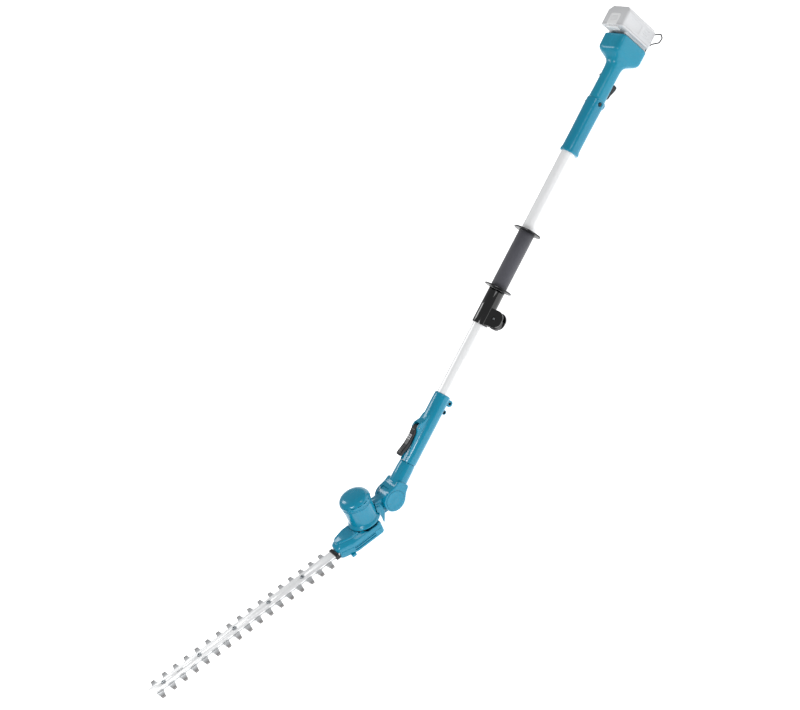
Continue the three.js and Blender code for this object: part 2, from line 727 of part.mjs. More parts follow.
function makeAdjustLever() {
  const tip = leverPinX - leverLength;
  const corners = [
    [leverPinX + 5, leverPinZ + 4, 3],
    [leverPinX + 5, leverPinZ - 5, 3],
    [leverPinX - 8, leverPinZ - 6, 3],
    [tip + 26, leverPinZ - 2, 12],
    [tip + 2, leverPinZ + 6, 3],
    [tip, leverPinZ + 13, 3],
    [tip + 16, leverPinZ + 13, 8],
    [leverPinX - 30, leverPinZ + 7, 12],
  ];
  const bore = rod(2 + gap, -20, 20, 'y').translate([leverPinX, 0, leverPinZ]);
  const lever = sideSlab(corners, -leverHalf, leverHalf, 2, 4).subtract(bore);
  piece(tool, 'adjusting_lever', lever, blackPlastic);
  const pin = rod(2, -leverHalf - 3.6, leverHalf + 3.6, 'y', 12);
  piece(tool, 'lever_pin', pin.translate([leverPinX, 0, leverPinZ]), steel);
  const springAt = leverPinX - 30;
  const spring = springSleeve(3.2, adjustRadius - 6 + gap, leverPinZ - 6.6, 'z').translate([springAt, 0, 0]);
  piece(tool, 'lever_spring', spring, steel);
  const boltTip = xPivot + knuckleRadius - tongueClearance + 0.6;
  piece(tool, 'lock_bolt', rod(5, boltTip, xAdjustLower + 46, 'x'), steel);
}

// ---- coupling and pivot ----
const forkHalf = tongueHalf + gap + forkWall;
const pivotBoltRadius = 6;

function makeCoupling() {
  const tube = turned([
    [xPivot + knuckleRadius + 8, 0],
    [xPivot + knuckleRadius + 8, adjustRadius + 0.6],
    [xAdjustLower - 5, adjustRadius - 0.4],
    [xAdjustLower - gap, adjustRadius - 1.4],
    [xAdjustLower - gap, 0],
  ]);
  const reach = xPivot + knuckleRadius + 26;
  const arms = sideSlab([
    [xPivot, knuckleRadius, 0],
    [xPivot + 16, knuckleRadius - 2, 8],
    [reach, adjustRadius - 4, 6],
    [reach, -adjustRadius + 4, 6],
    [xPivot + 16, -knuckleRadius + 2, 8],
    [xPivot, -knuckleRadius, 0],
  ], -forkHalf, forkHalf, 3, 3);
  const eyes = ring(knuckleRadius, 1, -forkHalf, forkHalf, 'y').add(rod(2, -forkHalf, forkHalf, 'y'));
  const tongueRoom = rod(knuckleRadius + 1, -tongueHalf - gap, tongueHalf + gap, 'y', wheelSides)
    .add(block(-60, 0, -tongueHalf - gap, tongueHalf + gap, -60, 60));
  const boltWay = rod(5 + gap, xPivot, xAdjustLower + 10, 'x');
  const coverSeats = [-1, 1].map((side) => {
    const near = side * (forkHalf - 3);
    const far = side * (forkHalf + 3);
    return rod(knuckleRadius - 5 + gap, Math.min(near, far), Math.max(near, far), 'y', wheelSides);
  });
  const pivotWay = rod(pivotBoltRadius + gap, -60, 60, 'y');
  let whole = tube.add(arms).add(eyes.translate([xPivot, 0, 0]));
  const rooms = coverSeats.reduce((sum, seat) => sum.add(seat), tongueRoom.add(pivotWay));
  whole = whole.subtract(rooms.translate([xPivot, 0, 0])).subtract(boltWay);
  piece(tool, 'coupling_fork', keepBiggest(whole), teal);
  for (const [side, name] of [[-1, 'left'], [1, 'right']]) {
    const inner = side * (forkHalf - 3 + gap);
    const outer = side * (forkHalf + 1.6);
    const cover = rod(knuckleRadius - 5, Math.min(inner, outer), Math.max(inner, outer), 'y', wheelSides);
    piece(tool, `pivot_cover_${name}`, cover.translate([xPivot, 0, 0]), teal);
  }
  const bolt = rod(pivotBoltRadius, -forkHalf + 3.4, forkHalf - 3.4, 'y').translate([xPivot, 0, 0]);
  piece(tool, 'pivot_bolt', bolt, steel);
}

function makeNeck() {
  const tongueRadius = knuckleRadius - tongueClearance;
  const tongue = rod(tongueRadius, -tongueHalf, tongueHalf, 'y', wheelSides);
  const bridge = sideSlab([
    [-tongueRadius * 0.3, 16, 2],
    [-tongueRadius * 0.3, -20, 2],
    [-bodyRear + 9, -20, 2],
    [-bodyRear + 9, 22, 2],
  ], -tongueHalf, tongueHalf, 0, 2);
  const collarFrom = -bodyRear + gap;
  const collar = turned([
    [collarFrom, 0],
    [collarFrom, 23.5],
    [collarFrom + 8, 24.5],
    [collarFrom + 12, 22],
    [-knuckleRadius - 6, 22],
    [-knuckleRadius - 2.5, 19],
    [-knuckleRadius - 2.5, 0],
  ]);
  const bore = rod(pivotBoltRadius + gap, -60, 60, 'y');
  const drumFootTop = bodyTop + ledgeHeight + gap + 9;
  const drum = rod(drumRadius + 3 + gap, -99, drumFootTop + gap, 'z', wheelSides)
    .add(rod(drumRadius + gap, 0, 99, 'z', wheelSides))
    .translate([-motorFromPivot, 0, 0]);
  const neck = tongue.add(bridge).add(collar).subtract(bore).subtract(drum);
  piece(head, 'head_neck', keepBiggest(neck), teal);
}

// ---- gear housing ----
const nose = 46;

function bodyPlan(inset) {
  const shape = new THREE.Shape();
  const half = bodyHalfWidth - inset;
  const front = -bodyFront + inset;
  const shoulder = front + nose - inset * 0.5;
  const rear = -bodyRear - inset;
  shape.moveTo(rear, -half + 8);
  shape.lineTo(rear, half - 8);
  shape.quadraticCurveTo(rear, half, rear - 9, half);
  shape.lineTo(shoulder, half);
  shape.bezierCurveTo(shoulder - nose * 0.5, half, front, half * 0.72, front, half * 0.42);
  shape.lineTo(front, -half * 0.42);
  shape.bezierCurveTo(front, -half * 0.72, shoulder - nose * 0.5, -half, shoulder, -half);
  shape.lineTo(rear - 9, -half);
  shape.quadraticCurveTo(rear, -half, rear, -half + 8);
  return shape;
}

function makeGearHousing() {
  const split = bodySplit;
  const upperSkin = planSlab(bodyPlan(0), split - 5, bodyTop, 4, 5);
  const upperTrim = block(-300, 0, -99, 99, split + gap / 2, 99);
  const ledge = planSlab(bodyPlan(7), bodyTop - 4, bodyTop + ledgeHeight, 2.5, 5);
  const hollow = planSlab(bodyPlan(bodyWall + 1), split - 6, bodyTop - bodyWall, 1.5, 4);
  const drumSeat = rod(drumRadius - drumWall - 1, bodyTop - 9, bodyTop + 9, 'z', wheelSides);
  const motorHole = drumSeat.translate([-motorFromPivot, 0, 0]);
  const drumFoot = rod(drumRadius + 4, drumBottom, drumTop, 'z', wheelSides).translate([-motorFromPivot, 0, 0]);
  const slot = (z) => block(-146, -82, -99, -bodyHalfWidth + 1.6, z - 1.5, z + 1.5);
  let upper = upperSkin.intersect(upperTrim).add(ledge.subtract(drumFoot));
  upper = upper.subtract(hollow).subtract(motorHole);
  const barWay = block(
    -bodyFront - 20, -bodyFront + 30, -barHalfWidth - 1.2, barHalfWidth + 1.2,
    lowerBladeBottom - 3, barTop + 0.9,
  );
  piece(head, 'gear_housing_upper', keepBiggest(upper.subtract(barWay)), teal);

  const lowerSkin = planSlab(bodyPlan(0), bodyBottom, split + 5, 3, 5);
  const lowerTrim = block(-300, 0, -99, 99, -99, split - gap / 2);
  const lowerHollow = planSlab(bodyPlan(bodyWall + 1), bodyBottom + bodyWall, split + 6, 1.5, 4);
  const foot = block(-160, -148, -bodyHalfWidth + 1, -bodyHalfWidth + 9, bodyBottom - 5, bodyBottom + 2);
  const ribs = [-1, 1].map((side) => block(
    -bodyFront + 6, -barFrom + 2 - 14, Math.min(side * (barHalfWidth + 1.2), side * (barHalfWidth + 6)),
    Math.max(side * (barHalfWidth + 1.2), side * (barHalfWidth + 6)), bodyBottom + 2, split - gap / 2,
  ));
  let lower = lowerSkin.intersect(lowerTrim).subtract(lowerHollow).add(foot);
  for (const rib of ribs) lower = lower.add(rib.intersect(lowerSkin));
  lower = lower.subtract(barWay).subtract(slot(split - 3.6)).subtract(slot(split - 9.6));
  piece(head, 'gear_housing_lower', keepBiggest(lower), teal);

  const guardFrom = -bodyFront - gap;
  const guard = crossSlab([
    [-barHalfWidth - 7, lowerBladeBottom - 4, 3],
    [barHalfWidth + 7, lowerBladeBottom - 4, 3],
    [barHalfWidth + 5, barTop + 4, 3],
    [-barHalfWidth - 5, barTop + 4, 3],
  ], guardFrom - 12, guardFrom, 1, 3);
  const way = block(
    guardFrom - 20, guardFrom + 5, -barHalfWidth - 1, barHalfWidth + 1, lowerBladeBottom - 1, barTop + 0.8,
  );
  piece(head, 'blade_root_guard', guard.subtract(way), blackPlastic);
}

// ---- motor housing and drive ----
function makeMotor() {
  const foot = bodyTop + ledgeHeight + gap;
  const shell = turned([
    [drumBottom + gap, drumRadius + 0],
    [foot, drumRadius + 3],
    [foot + 5, drumRadius + 2.5],
    [foot + 9, drumRadius - 0.6],
    [drumTop, drumRadius],
    [drumTop, drumRadius - drumWall],
    [drumBottom + gap, drumRadius - drumWall],
  ], 'z');
  const base = planSlab(bodyPlan(7), bodyTop - 9, bodyTop + ledgeHeight + gap, 0, 5);
  let housing = shell.subtract(base);
  const ventCount = 14;
  for (let i = 0; i < ventCount; i++) {
    const slit = block(drumRadius - 6, drumRadius + 6, -2.2, 2.2, drumTop - 16, drumTop - 4);
    housing = housing.subtract(slit.rotate([0, 0, i * 360 / ventCount + 90]));
  }
  piece(head, 'motor_housing', keepBiggest(housing).translate([-motorFromPivot, 0, 0]), teal);
  const capFrom = drumTop + gap;
  const dome = turned([
    [capFrom, drumRadius - 8],
    [capFrom, drumRadius + 1.5],
    [capFrom + 5, drumRadius + 1.5],
    [capFrom + 11, drumRadius - 1],
    [capFrom + 16, drumRadius - 7],
    [capFrom + capHeight - 1, drumRadius - 18],
    [capFrom + capHeight, 0],
    [capFrom + capHeight - 4, 0],
    [capFrom + 8, drumRadius - 10],
  ], 'z');
  piece(head, 'motor_cap', dome.translate([-motorFromPivot, 0, 0]), teal);
  const stator = ring(drumRadius - drumWall - gap, 14.5, 4, 44, 'z');
  piece(head, 'motor_stator', stator.translate([-motorFromPivot, 0, 0]), copper);
  const pinionFrom = gearTop - gearThickness - 1;
  const rotor = turned([
    [pinionFrom + 9, 0],
    [pinionFrom + 9, 4],
    [6, 4],
    [6, 13.6],
    [42, 13.6],
    [42, 4],
    [47, 4],
    [47, 24],
    [51, 24],
    [51, 0],
  ], 'z', 24);
  const pinion = planSlab(toothed(pinionTeeth, Math.PI), pinionFrom, pinionFrom + 9.2, 0, 2);
  piece(head, 'motor_rotor', rotor.add(pinion).translate([-motorFromPivot, 0, 0]), steel);
  const bearing = ring(11, 4 + gap, -6, 0, 'z', 20);
  const plate = ring(drumRadius - drumWall - gap, 9, -4, 0, 'z');
  piece(head, 'motor_bearing_plate', bearing.add(plate).translate([-motorFromPivot, 0, 0]), aluminium);
}

function makeCrank() {
  const bottom = gearTop - gearThickness;
  const halfTooth = Math.PI / gearTeeth;
  const wheel = planSlab(toothed(gearTeeth, halfTooth), bottom, gearTop, 0, 2);
  const upperDisc = rod(eccentricRadius, upperBladeTop - bladeThickness - gap / 2, bottom + 1, 'z', 24);
  const lowerDisc = rod(eccentricRadius, lowerBladeBottom, upperBladeTop - bladeThickness - gap / 2, 'z', 24);
  const crank = wheel
    .add(upperDisc.translate([0, eccentricThrow, 0]))
    .add(lowerDisc.translate([0, -eccentricThrow, 0]));
  const bore = rod(3 + gap, -99, 99, 'z', 12);
  piece(head, 'crank_gear', crank.subtract(bore).translate([-gearCentre, 0, 0]), steel);
  const pin = rod(3, bodyBottom + bodyWall + gap, bodyTop - bodyWall - gap, 'z', 12);
  piece(head, 'crank_pin', pin.translate([-gearCentre, 0, 0]), darkSteel);
}

// ---- cutting bar ----
function bladeOutline() {
  const right = [];
  for (let i = 0; i < bladeTeeth; i++) {
    const middle = firstTooth + bladePitch * i;
    right.push([middle - 8.5, bladeSpine], [middle - 4.4, toothReach]);
    right.push([middle + 4.4, toothReach], [middle + 8.5, bladeSpine]);
  }
  const yokeEnd = gearCentre - eccentricThrow - eccentricRadius - yokeSlack - 9;
  const yokeHalf = eccentricThrow + eccentricRadius + 4;
  const neck = gearCentre + eccentricThrow + eccentricRadius + 12;
  const side = [[yokeEnd, yokeHalf], [neck - 4, yokeHalf], [neck, bladeSpine], ...right];
  side.push([bladeTip, bladeSpine]);
  const shape = new THREE.Shape();
  side.forEach(([x, y], i) => (i === 0 ? shape.moveTo(-x, y) : shape.lineTo(-x, y)));
  side.reverse().forEach(([x, y]) => shape.lineTo(-x, -y));
  shape.closePath();
  return shape;
}

function boltPlaces() {
  return Array.from({ length: boltCount }, (_, i) => firstBolt + boltSpacing * i);
}

function slotPath(x, halfLength, radius) {
  const path = new THREE.Path();
  path.absarc(-x - halfLength, 0, radius, Math.PI / 2, 1.5 * Math.PI);
  path.absarc(-x + halfLength, 0, radius, -Math.PI / 2, Math.PI / 2);
  path.closePath();
  return path;
}

function makeBlades() {
  for (const [name, top, side] of [['upper_blade', upperBladeTop, 1], ['lower_blade', lowerBladeTop, -1]]) {
    const shape = bladeOutline();
    for (const x of boltPlaces()) shape.holes.push(slotPath(x, eccentricThrow + 0.4, boltRadius + 0.4));
    const half = eccentricRadius + yokeSlack;
    const reach = eccentricThrow + eccentricRadius + 0.6;
    const window = block(
      -gearCentre - half, -gearCentre + half, -reach, reach, top - bladeThickness - 1, top + 1,
    );
    const blade = planSlab(shape, top - bladeThickness, top, 0, 4).subtract(window);
    piece(head, name, blade, steel);
  }
}

function makeGuideBar() {
  const shape = outline([
    [-barFrom, -barHalfWidth, 1],
    [-barTip, -barHalfWidth, 9],
    [-barTip, barHalfWidth, 9],
    [-barFrom, barHalfWidth, 1],
  ]);
  shape.holes.push(slotPath(barTip - 85, 6, 2.4));
  let bar = planSlab(shape, barTop - barThickness, barTop, 0, 4);
  for (const x of boltPlaces()) {
    bar = bar.subtract(rod(boltRadius + gap, -99, 99, 'z', 12).translate([-x, 0, 0]));
  }
  piece(head, 'guide_bar', bar, aluminium);
  boltPlaces().forEach((x, i) => {
    const bolt = rod(boltRadius, lowerBladeBottom - 3, barTop + 2, 'z', 12)
      .add(rod(5.4, barTop + gap, barTop + 3, 'z', 12))
      .add(rod(5, lowerBladeBottom - 4.2, lowerBladeBottom - gap, 'z', 6));
    piece(head, `bar_bolt_${i + 1}`, bolt.translate([-x, 0, 0]), steel);
  });
}

makeHousing();
makeTrigger();
makeElectrics();
makeHanger();
makeBattery();
makeGripAndTubes();
makeClamp();
makeInnerTube();
makeAdjustHousing();
makeAdjustLever();
makeCoupling();
makeNeck();
makeGearHousing();
makeMotor();
makeCrank();
makeBlades();
makeGuideBar();

// The origin is the middle of the battery mount's flat underside, on the surface that the tool lies on.
tool.position.set(mountLength / 2, 0, -mountBottom);

export default tool;
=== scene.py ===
import math

import bmesh
import bpy
from mathutils import Matrix, Vector


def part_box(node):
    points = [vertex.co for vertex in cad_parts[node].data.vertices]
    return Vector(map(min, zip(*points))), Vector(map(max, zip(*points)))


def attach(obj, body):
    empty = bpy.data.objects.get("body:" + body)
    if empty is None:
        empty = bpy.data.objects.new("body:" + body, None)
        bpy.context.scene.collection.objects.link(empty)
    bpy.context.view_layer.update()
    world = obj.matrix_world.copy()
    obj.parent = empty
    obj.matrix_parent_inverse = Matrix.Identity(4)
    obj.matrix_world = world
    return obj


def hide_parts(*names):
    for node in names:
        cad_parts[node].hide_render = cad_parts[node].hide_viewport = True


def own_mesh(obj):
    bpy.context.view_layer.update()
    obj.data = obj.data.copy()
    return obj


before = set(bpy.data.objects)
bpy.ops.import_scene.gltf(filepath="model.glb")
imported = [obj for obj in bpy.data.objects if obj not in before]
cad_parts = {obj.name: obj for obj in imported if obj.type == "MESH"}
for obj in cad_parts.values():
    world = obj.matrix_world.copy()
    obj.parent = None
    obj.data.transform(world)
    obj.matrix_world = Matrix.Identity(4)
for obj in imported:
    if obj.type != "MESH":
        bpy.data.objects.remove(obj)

scene = bpy.context.scene
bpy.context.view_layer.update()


# ---- outer and inner tube ----
# Two drawn aluminium tubes with a pale silver finish. The inner one slides in the outer one, and
# both run the whole way between the handle and the adjusting housing at the blade end.

class Flow:
    """The value of one socket. Sums and products of it add the Math nodes they need."""

    def __init__(self, graph, socket):
        self.graph = graph
        self.socket = socket

    def maths(self, operation, first, second):
        return self.graph.add("ShaderNodeMath", {"operation": operation}, {0: first, 1: second})

    def __add__(self, other):
        return self.maths("ADD", self, other)

    def __rsub__(self, other):
        return self.maths("SUBTRACT", other, self)

    def __mul__(self, other):
        return self.maths("MULTIPLY", self, other)

    def __truediv__(self, other):
        return self.maths("DIVIDE", self, other)



class Graph:
    """A node tree under construction, for a finish or for a Geometry Nodes modifier."""

    def __init__(self, tree):
        self.tree = tree

    def add(self, kind, settings=None, sockets=None, out=0):
        node = self.tree.nodes.new(kind)
        for key, value in (settings or {}).items():
            setattr(node, key, value)
        for key, value in (sockets or {}).items():
            if isinstance(value, Flow):
                self.tree.links.new(value.socket, node.inputs[key])
            else:
                node.inputs[key].default_value = value
        return Flow(self, node.outputs[out]) if node.outputs else None

    def grain(self, scale, detail=2.0, stretch=(1, 1, 1), turn=(0, 0, 0)):
        """Noise in the object's own coordinates, its cells drawn out by a stretch along each axis."""
        place = self.add("ShaderNodeTexCoord", out="Object")
        place = self.add("ShaderNodeMapping", None, {"Vector": place, "Rotation": turn})
        place = self.add("ShaderNodeMapping", None, {"Vector": place, "Scale": stretch})
        return self.add("ShaderNodeTexNoise", None, {"Vector": place, "Scale": scale, "Detail": detail})

    def band(self, value, low, high):
        """0 below low, 1 above high, and smooth between them."""
        settings = {"interpolation_type": "SMOOTHSTEP"}
        return self.add("ShaderNodeMapRange", settings, {"Value": value, "From Min": low, "From Max": high})

    def tint(self, factor, first, second):
        colours = {0: factor, 6: first, 7: second}
        return self.add("ShaderNodeMix", {"data_type": "RGBA"}, colours, out=2)


def paint(code, shade=1.0):
    """A colour code as linear red, green, blue and alpha."""
    parts = [int(code[i:i + 2], 16) / 255 for i in (0, 2, 4)]
    linear = [p / 12.92 if p <= 0.04045 else ((p + 0.055) / 1.055) ** 2.4 for p in parts]
    return tuple(min(1, p * shade) for p in linear) + (1,)


def new_finish(name, **fixed):
    """A material with one Principled shader, its fixed sockets set. Gives the graph and the shader."""
    material = bpy.data.materials.new(name)
    material.use_nodes = True
    material.node_tree.nodes.clear()
    graph = Graph(material.node_tree)
    shader = graph.add("ShaderNodeBsdfPrincipled")
    graph.add("ShaderNodeOutputMaterial", None, {"Surface": shader})
    graph.material = material
    graph.shader = shader.socket.node
    for key, value in fixed.items():
        graph.shader.inputs[key.replace("_", " ")].default_value = value
    return graph


def feed(graph, **flows):
    """Links what varies over the surface to the shader's sockets."""
    for key, value in flows.items():
        graph.tree.links.new(value.socket, graph.shader.inputs[key.replace("_", " ")])


def bumped(graph, height, depth):
    """A height flow, from 0 to 1, as bump of that depth in metres."""
    bump = graph.add("ShaderNodeBump", None, {"Height": height, "Distance": depth, "Strength": 1.0})
    feed(graph, Normal=bump)


def drawn_metal(name, code, roughness, metallic, along=(0.02, 1, 1), turn=(0, 0, 0), coat=0.0):
    """Metal drawn or ground in one direction: fine lines that way, dull handling marks across it."""
    graph = new_finish(name, Metallic=metallic, Coat_Weight=coat, Coat_Roughness=0.12)
    lines = graph.grain(1400, 3.0, along, turn)
    marks = graph.band(graph.grain(22, 5.0, (0.4, 1, 1), turn), 0.5, 0.72)
    flecks = graph.band(graph.grain(260, 2.0), 0.62, 0.78)
    colour = graph.tint(lines * 0.5, paint(code, 1.04), paint(code, 0.86))
    colour = graph.tint(marks * 0.25, colour, paint(code, 0.72))
    feed(graph, Base_Color=colour)
    feed(graph, Roughness=lines * 0.10 + marks * 0.12 + flecks * 0.08 + (roughness - 0.06))
    bumped(graph, lines * 0.7 + flecks * 0.3, 0.00002)
    return graph.material


pale_tube = drawn_metal("pale_tube", "f6f7f8", 0.34, 0.15, coat=0.3)
plain_steel = drawn_metal("plain_steel", "9fa4a8", 0.33, 1.0)
black_steel = drawn_metal("black_steel", "26282a", 0.42, 0.85)

tube_low, tube_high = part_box("outer_tube")
pole_height = (tube_low.z + tube_high.z) / 2
pole = Matrix.Translation((0, 0, pole_height)) @ Matrix.Scale(0.001, 4)


def reach(node):
    """Where a node on the pole starts and ends along it, in millimetres, blade end first."""
    low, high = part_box(node)
    return low.x * 1000, high.x * 1000


def half_height(node):
    low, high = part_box(node)
    return (high.z - low.z) * 500


def centre(node):
    """The middle of a node along the pole, across it and above its axis, in millimetres."""
    low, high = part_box(node)
    return (low.x + high.x) * 500, (low.y + high.y) * 500, ((low.z + high.z) / 2 - pole_height) * 1000


def heights(node):
    """A node's lowest and highest point above the pole's axis, in millimetres."""
    low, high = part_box(node)
    return (low.z - pole_height) * 1000, (high.z - pole_height) * 1000


def spun(profile, axis="x", sides=96, at=(0, 0, 0)):
    """A body turned from [along, radius] points. A profile that starts and ends on the axis is solid,
    and any other is a closed ring."""
    bm = bmesh.new()
    rings = []
    for along, radius in profile:
        count = 1 if radius < 1e-6 else sides
        ring = []
        for i in range(count):
            angle = 2 * math.pi * i / sides
            across, up = radius * math.cos(angle), radius * math.sin(angle)
            spot = {"x": (along, across, up), "y": (up, along, across), "z": (across, up, along)}[axis]
            ring.append(bm.verts.new(Vector(spot) + Vector(at)))
        rings.append(ring)
    hollow = len(rings[0]) > 1 and len(rings[-1]) > 1
    pairs = list(zip(rings, rings[1:]))
    if hollow:
        pairs.append((rings[-1], rings[0]))
    for one, two in pairs:
        for i in range(sides):
            j = (i + 1) % sides
            corners = [one[i % len(one)], one[j % len(one)], two[j % len(two)], two[i % len(two)]]
            if len(set(corners)) > 2:
                bm.faces.new(list(dict.fromkeys(corners)))
    bmesh.ops.recalc_face_normals(bm, faces=bm.faces)
    return bm


def rounded(corners, steps=6):
    """A closed outline from corners given as (a, b, radius), each rounded by a true curve."""
    points = []
    for i, (a, b, radius) in enumerate(corners):
        here = Vector((a, b))
        back = Vector(corners[i - 1][:2]) - here
        on = Vector(corners[(i + 1) % len(corners)][:2]) - here
        if radius <= 0:
            points.append(here)
            continue
        turn = math.pi - back.angle(on)
        run = min(radius * math.tan(turn / 2), 0.48 * back.length, 0.48 * on.length)
        start = here + back.normalized() * run
        end = here + on.normalized() * run
        pull = 4 / 3 * math.tan(turn / 4) / math.tan(turn / 2) if turn > 1e-3 else 0.66
        one, two = start.lerp(here, pull), end.lerp(here, pull)
        for k in range(steps + 1):
            t = k / steps
            s = 1 - t
            points.append(s ** 3 * start + 3 * s * s * t * one + 3 * s * t * t * two + t ** 3 * end)
    return points


def as_object(name, bm):
    mesh = bpy.data.meshes.new(name)
    bm.to_mesh(mesh)
    bm.free()
    made = bpy.data.objects.new(name, mesh)
    scene.collection.objects.link(made)
    return made


def applied(made):
    """Turns an object's modifiers into its plain mesh."""
    seen = made.evaluated_get(bpy.context.evaluated_depsgraph_get())
    mesh = bpy.data.meshes.new_from_object(seen)
    made.modifiers.clear()
    made.data = mesh
    return made


def shaped(name, base, added=(), cut=(), soften=0.0, limit=35):
    """A mesh in millimetres from a base, with others added to it and cut from it, its edges softened."""
    made = as_object(name, base)
    for operation, others in (("UNION", added), ("DIFFERENCE", cut)):
        for other in others:
            tool = as_object(name + "_tool", other)
            modifier = made.modifiers.new("join", "BOOLEAN")
            modifier.operation = operation
            modifier.solver = "EXACT"
            modifier.object = tool
            applied(made)
            bpy.data.objects.remove(tool)
    if soften > 0:
        modifier = made.modifiers.new("soften", "BEVEL")
        modifier.width = soften
        modifier.segments = 2
        modifier.limit_method = "ANGLE"
        modifier.angle_limit = math.radians(limit)
        applied(made)
    return made


def fitted(made, place, body, finish, nodes=(), sharp=38):
    """Puts a millimetre mesh in its place in the row frame as a finished piece of the tool."""
    bm = bmesh.new()
    bm.from_mesh(made.data)
    bm.transform(place)
    bmesh.ops.remove_doubles(bm, verts=bm.verts, dist=2e-6)
    bmesh.ops.dissolve_degenerate(bm, edges=bm.edges, dist=1e-6)
    bmesh.ops.recalc_face_normals(bm, faces=bm.faces)
    for face in bm.faces:
        face.smooth = True
    for edge in bm.edges:
        edge.smooth = len(edge.link_faces) == 2 and edge.calc_face_angle(0) < math.radians(sharp)
    bm.to_mesh(made.data)
    bm.free()
    made.data.materials.clear()
    made.data.materials.append(finish)
    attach(made, body)
    if nodes:
        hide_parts(*nodes)
    return made


def tube_profile(start, end, radius, wall, soft=0.4):
    return [
        (start, radius - wall), (start, radius - soft), (start + soft, radius),
        (end - soft, radius), (end, radius - soft), (end, radius - wall),
    ]


start, end = reach("outer_tube")
outer_radius = half_height("outer_tube")
tube_wall = 1.4
outer = shaped("outer_tube_drawn", spun(tube_profile(start, end, outer_radius, tube_wall)))
fitted(outer, pole, "handle", pale_tube, ["outer_tube"])

start, end = reach("inner_tube")
inner_radius = half_height("inner_tube")
inner = shaped("inner_tube_drawn", spun(tube_profile(start, end, inner_radius, tube_wall)))
fitted(inner, pole, "inner_pole", pale_tube, ["inner_tube"])


# ---- grip sleeve and its two flanges ----
# A soft foam-rubber sleeve pushed on the outer tube, held between two moulded nylon flanges that
# keep the hand from slipping along the pole.

def moulded(name, code, roughness, coat=0.0, grain=900, depth=0.00003, wear=0.35, mottle=0.10, light=1.3):
    """Moulded plastic: a faint drift of colour, a fine grain, scuffs from handling and paler worn edges."""
    graph = new_finish(name, Coat_Weight=coat, Coat_Roughness=0.06, IOR=1.5, Specular_IOR_Level=0.3)
    drift = graph.grain(14, 3.0)
    fine = graph.grain(grain, 3.0)
    scuffs = graph.band(graph.grain(60, 6.0, (0.25, 1.3, 1)), 0.60, 0.74)
    edge = graph.add("ShaderNodeNewGeometry", out="Pointiness")
    edge = graph.band(edge, 0.515, 0.60) * graph.band(graph.grain(90, 4.0), 0.38, 0.62)
    colour = graph.tint(drift, paint(code, 1 - mottle), paint(code, 1 + mottle))
    colour = graph.tint(fine * 0.22, colour, paint(code, 0.82))
    colour = graph.tint(edge * wear, colour, paint(code, light))
    feed(graph, Base_Color=colour)
    feed(graph, Roughness=fine * 0.08 + scuffs * 0.14 + edge * 0.10 + drift * 0.05 + (roughness - 0.07))
    bumped(graph, fine * 0.8 + scuffs * 0.2, depth)
    return graph.material


def foam_rubber(name, code):
    """Closed-cell foam rubber: a matt skin with fine open pores and a lighter bloom where it is handled."""
    graph = new_finish(name, Sheen_Weight=0.25, Sheen_Roughness=0.5, IOR=1.45)
    place = graph.add("ShaderNodeTexCoord", out="Object")
    pores = graph.add("ShaderNodeTexVoronoi", None, {"Vector": place, "Scale": 1500})
    pores = graph.band(pores, 0.12, 0.45)
    bloom = graph.band(graph.grain(18, 4.0, (0.5, 1, 1)), 0.42, 0.70)
    soft = graph.grain(220, 3.0)
    colour = graph.tint(bloom * 0.5, paint(code), paint(code, 1.45))
    colour = graph.tint((1 - pores) * 0.5, colour, paint(code, 0.5))
    feed(graph, Base_Color=colour)
    feed(graph, Roughness=bloom * 0.10 + soft * 0.10 + 0.46)
    bumped(graph, pores * 0.6 + soft * 0.4, 0.00008)
    return graph.material


grip_rubber = foam_rubber("grip_rubber", "45454c")
black_nylon = moulded("black_nylon", "17181b", 0.34, coat=0.15, light=2.2)

start, end = reach("grip_sleeve")
grip_radius = half_height("grip_sleeve")
tube_fit = outer_radius + 0.3
sleeve_edge = 1.4
edge_turns = (0, 0.4, 0.8, 1.2, math.pi / 2)
edge_curve = [
    (sleeve_edge * (1 - math.cos(a)), grip_radius - sleeve_edge * (1 - math.sin(a))) for a in edge_turns
]
sleeve_profile = [(start, tube_fit)]
sleeve_profile += [(start + along, radius) for along, radius in edge_curve]
sleeve_profile += [(end - along, radius) for along, radius in reversed(edge_curve)]
sleeve_profile += [(end, tube_fit)]
sleeve = shaped("foam_grip", spun(sleeve_profile))
fitted(sleeve, pole, "handle", grip_rubber, ["grip_sleeve"])


def flange_profile(grip_side, far_side):
    """A thin disc with a rounded rim, thickened to a hub on the side away from the grip."""
    way = 1 if far_side > grip_side else -1
    thick = abs(far_side - grip_side)
    rim = half_height("grip_flange_upper")
    points = [
        (0, tube_fit), (0, 24), (0.5, 27), (1.2, rim - 4), (1.0, rim - 1.6), (1.6, rim - 0.5), (2.9, rim),
        (4.2, rim - 0.5), (4.8, rim - 1.6), (4.5, rim - 4), (4.1, 29), (4.6, 25.5), (5.6, 23.6),
        (thick - 0.4, 22.6), (thick, 22), (thick, tube_fit),
    ]
    return [(grip_side + way * along, radius) for along, radius in points]


for node, grip_at in (("grip_flange_upper", 0), ("grip_flange_lower", 1)):
    ends = reach(node)
    profile = flange_profile(ends[grip_at], ends[1 - grip_at])
    flange = shaped(node.replace("grip_flange", "hand_flange"), spun(profile))
    fitted(flange, pole, "handle", black_nylon, [node])


# ---- clamp sleeve, its lever and pin ----
# A glossy black split sleeve on the lower end of the outer tube. A cam lever between its two ears
# squeezes it on the inner tube, and a steel pin holds the lever.

gloss_black = moulded(
    "gloss_black", "08090b", 0.13, coat=0.8, grain=500, depth=0.000006, light=2.0, mottle=0.05,
)

start, end = reach("clamp_sleeve")
clamp_radius = 21
clamp_turn = Matrix.Rotation(math.radians(-68), 4, "X")
pin_x = centre("clamp_pin")[0]
pin_out = 35
ear_half = 22
ear_reach = 57
ear_in, ear_out = 8.5, 13


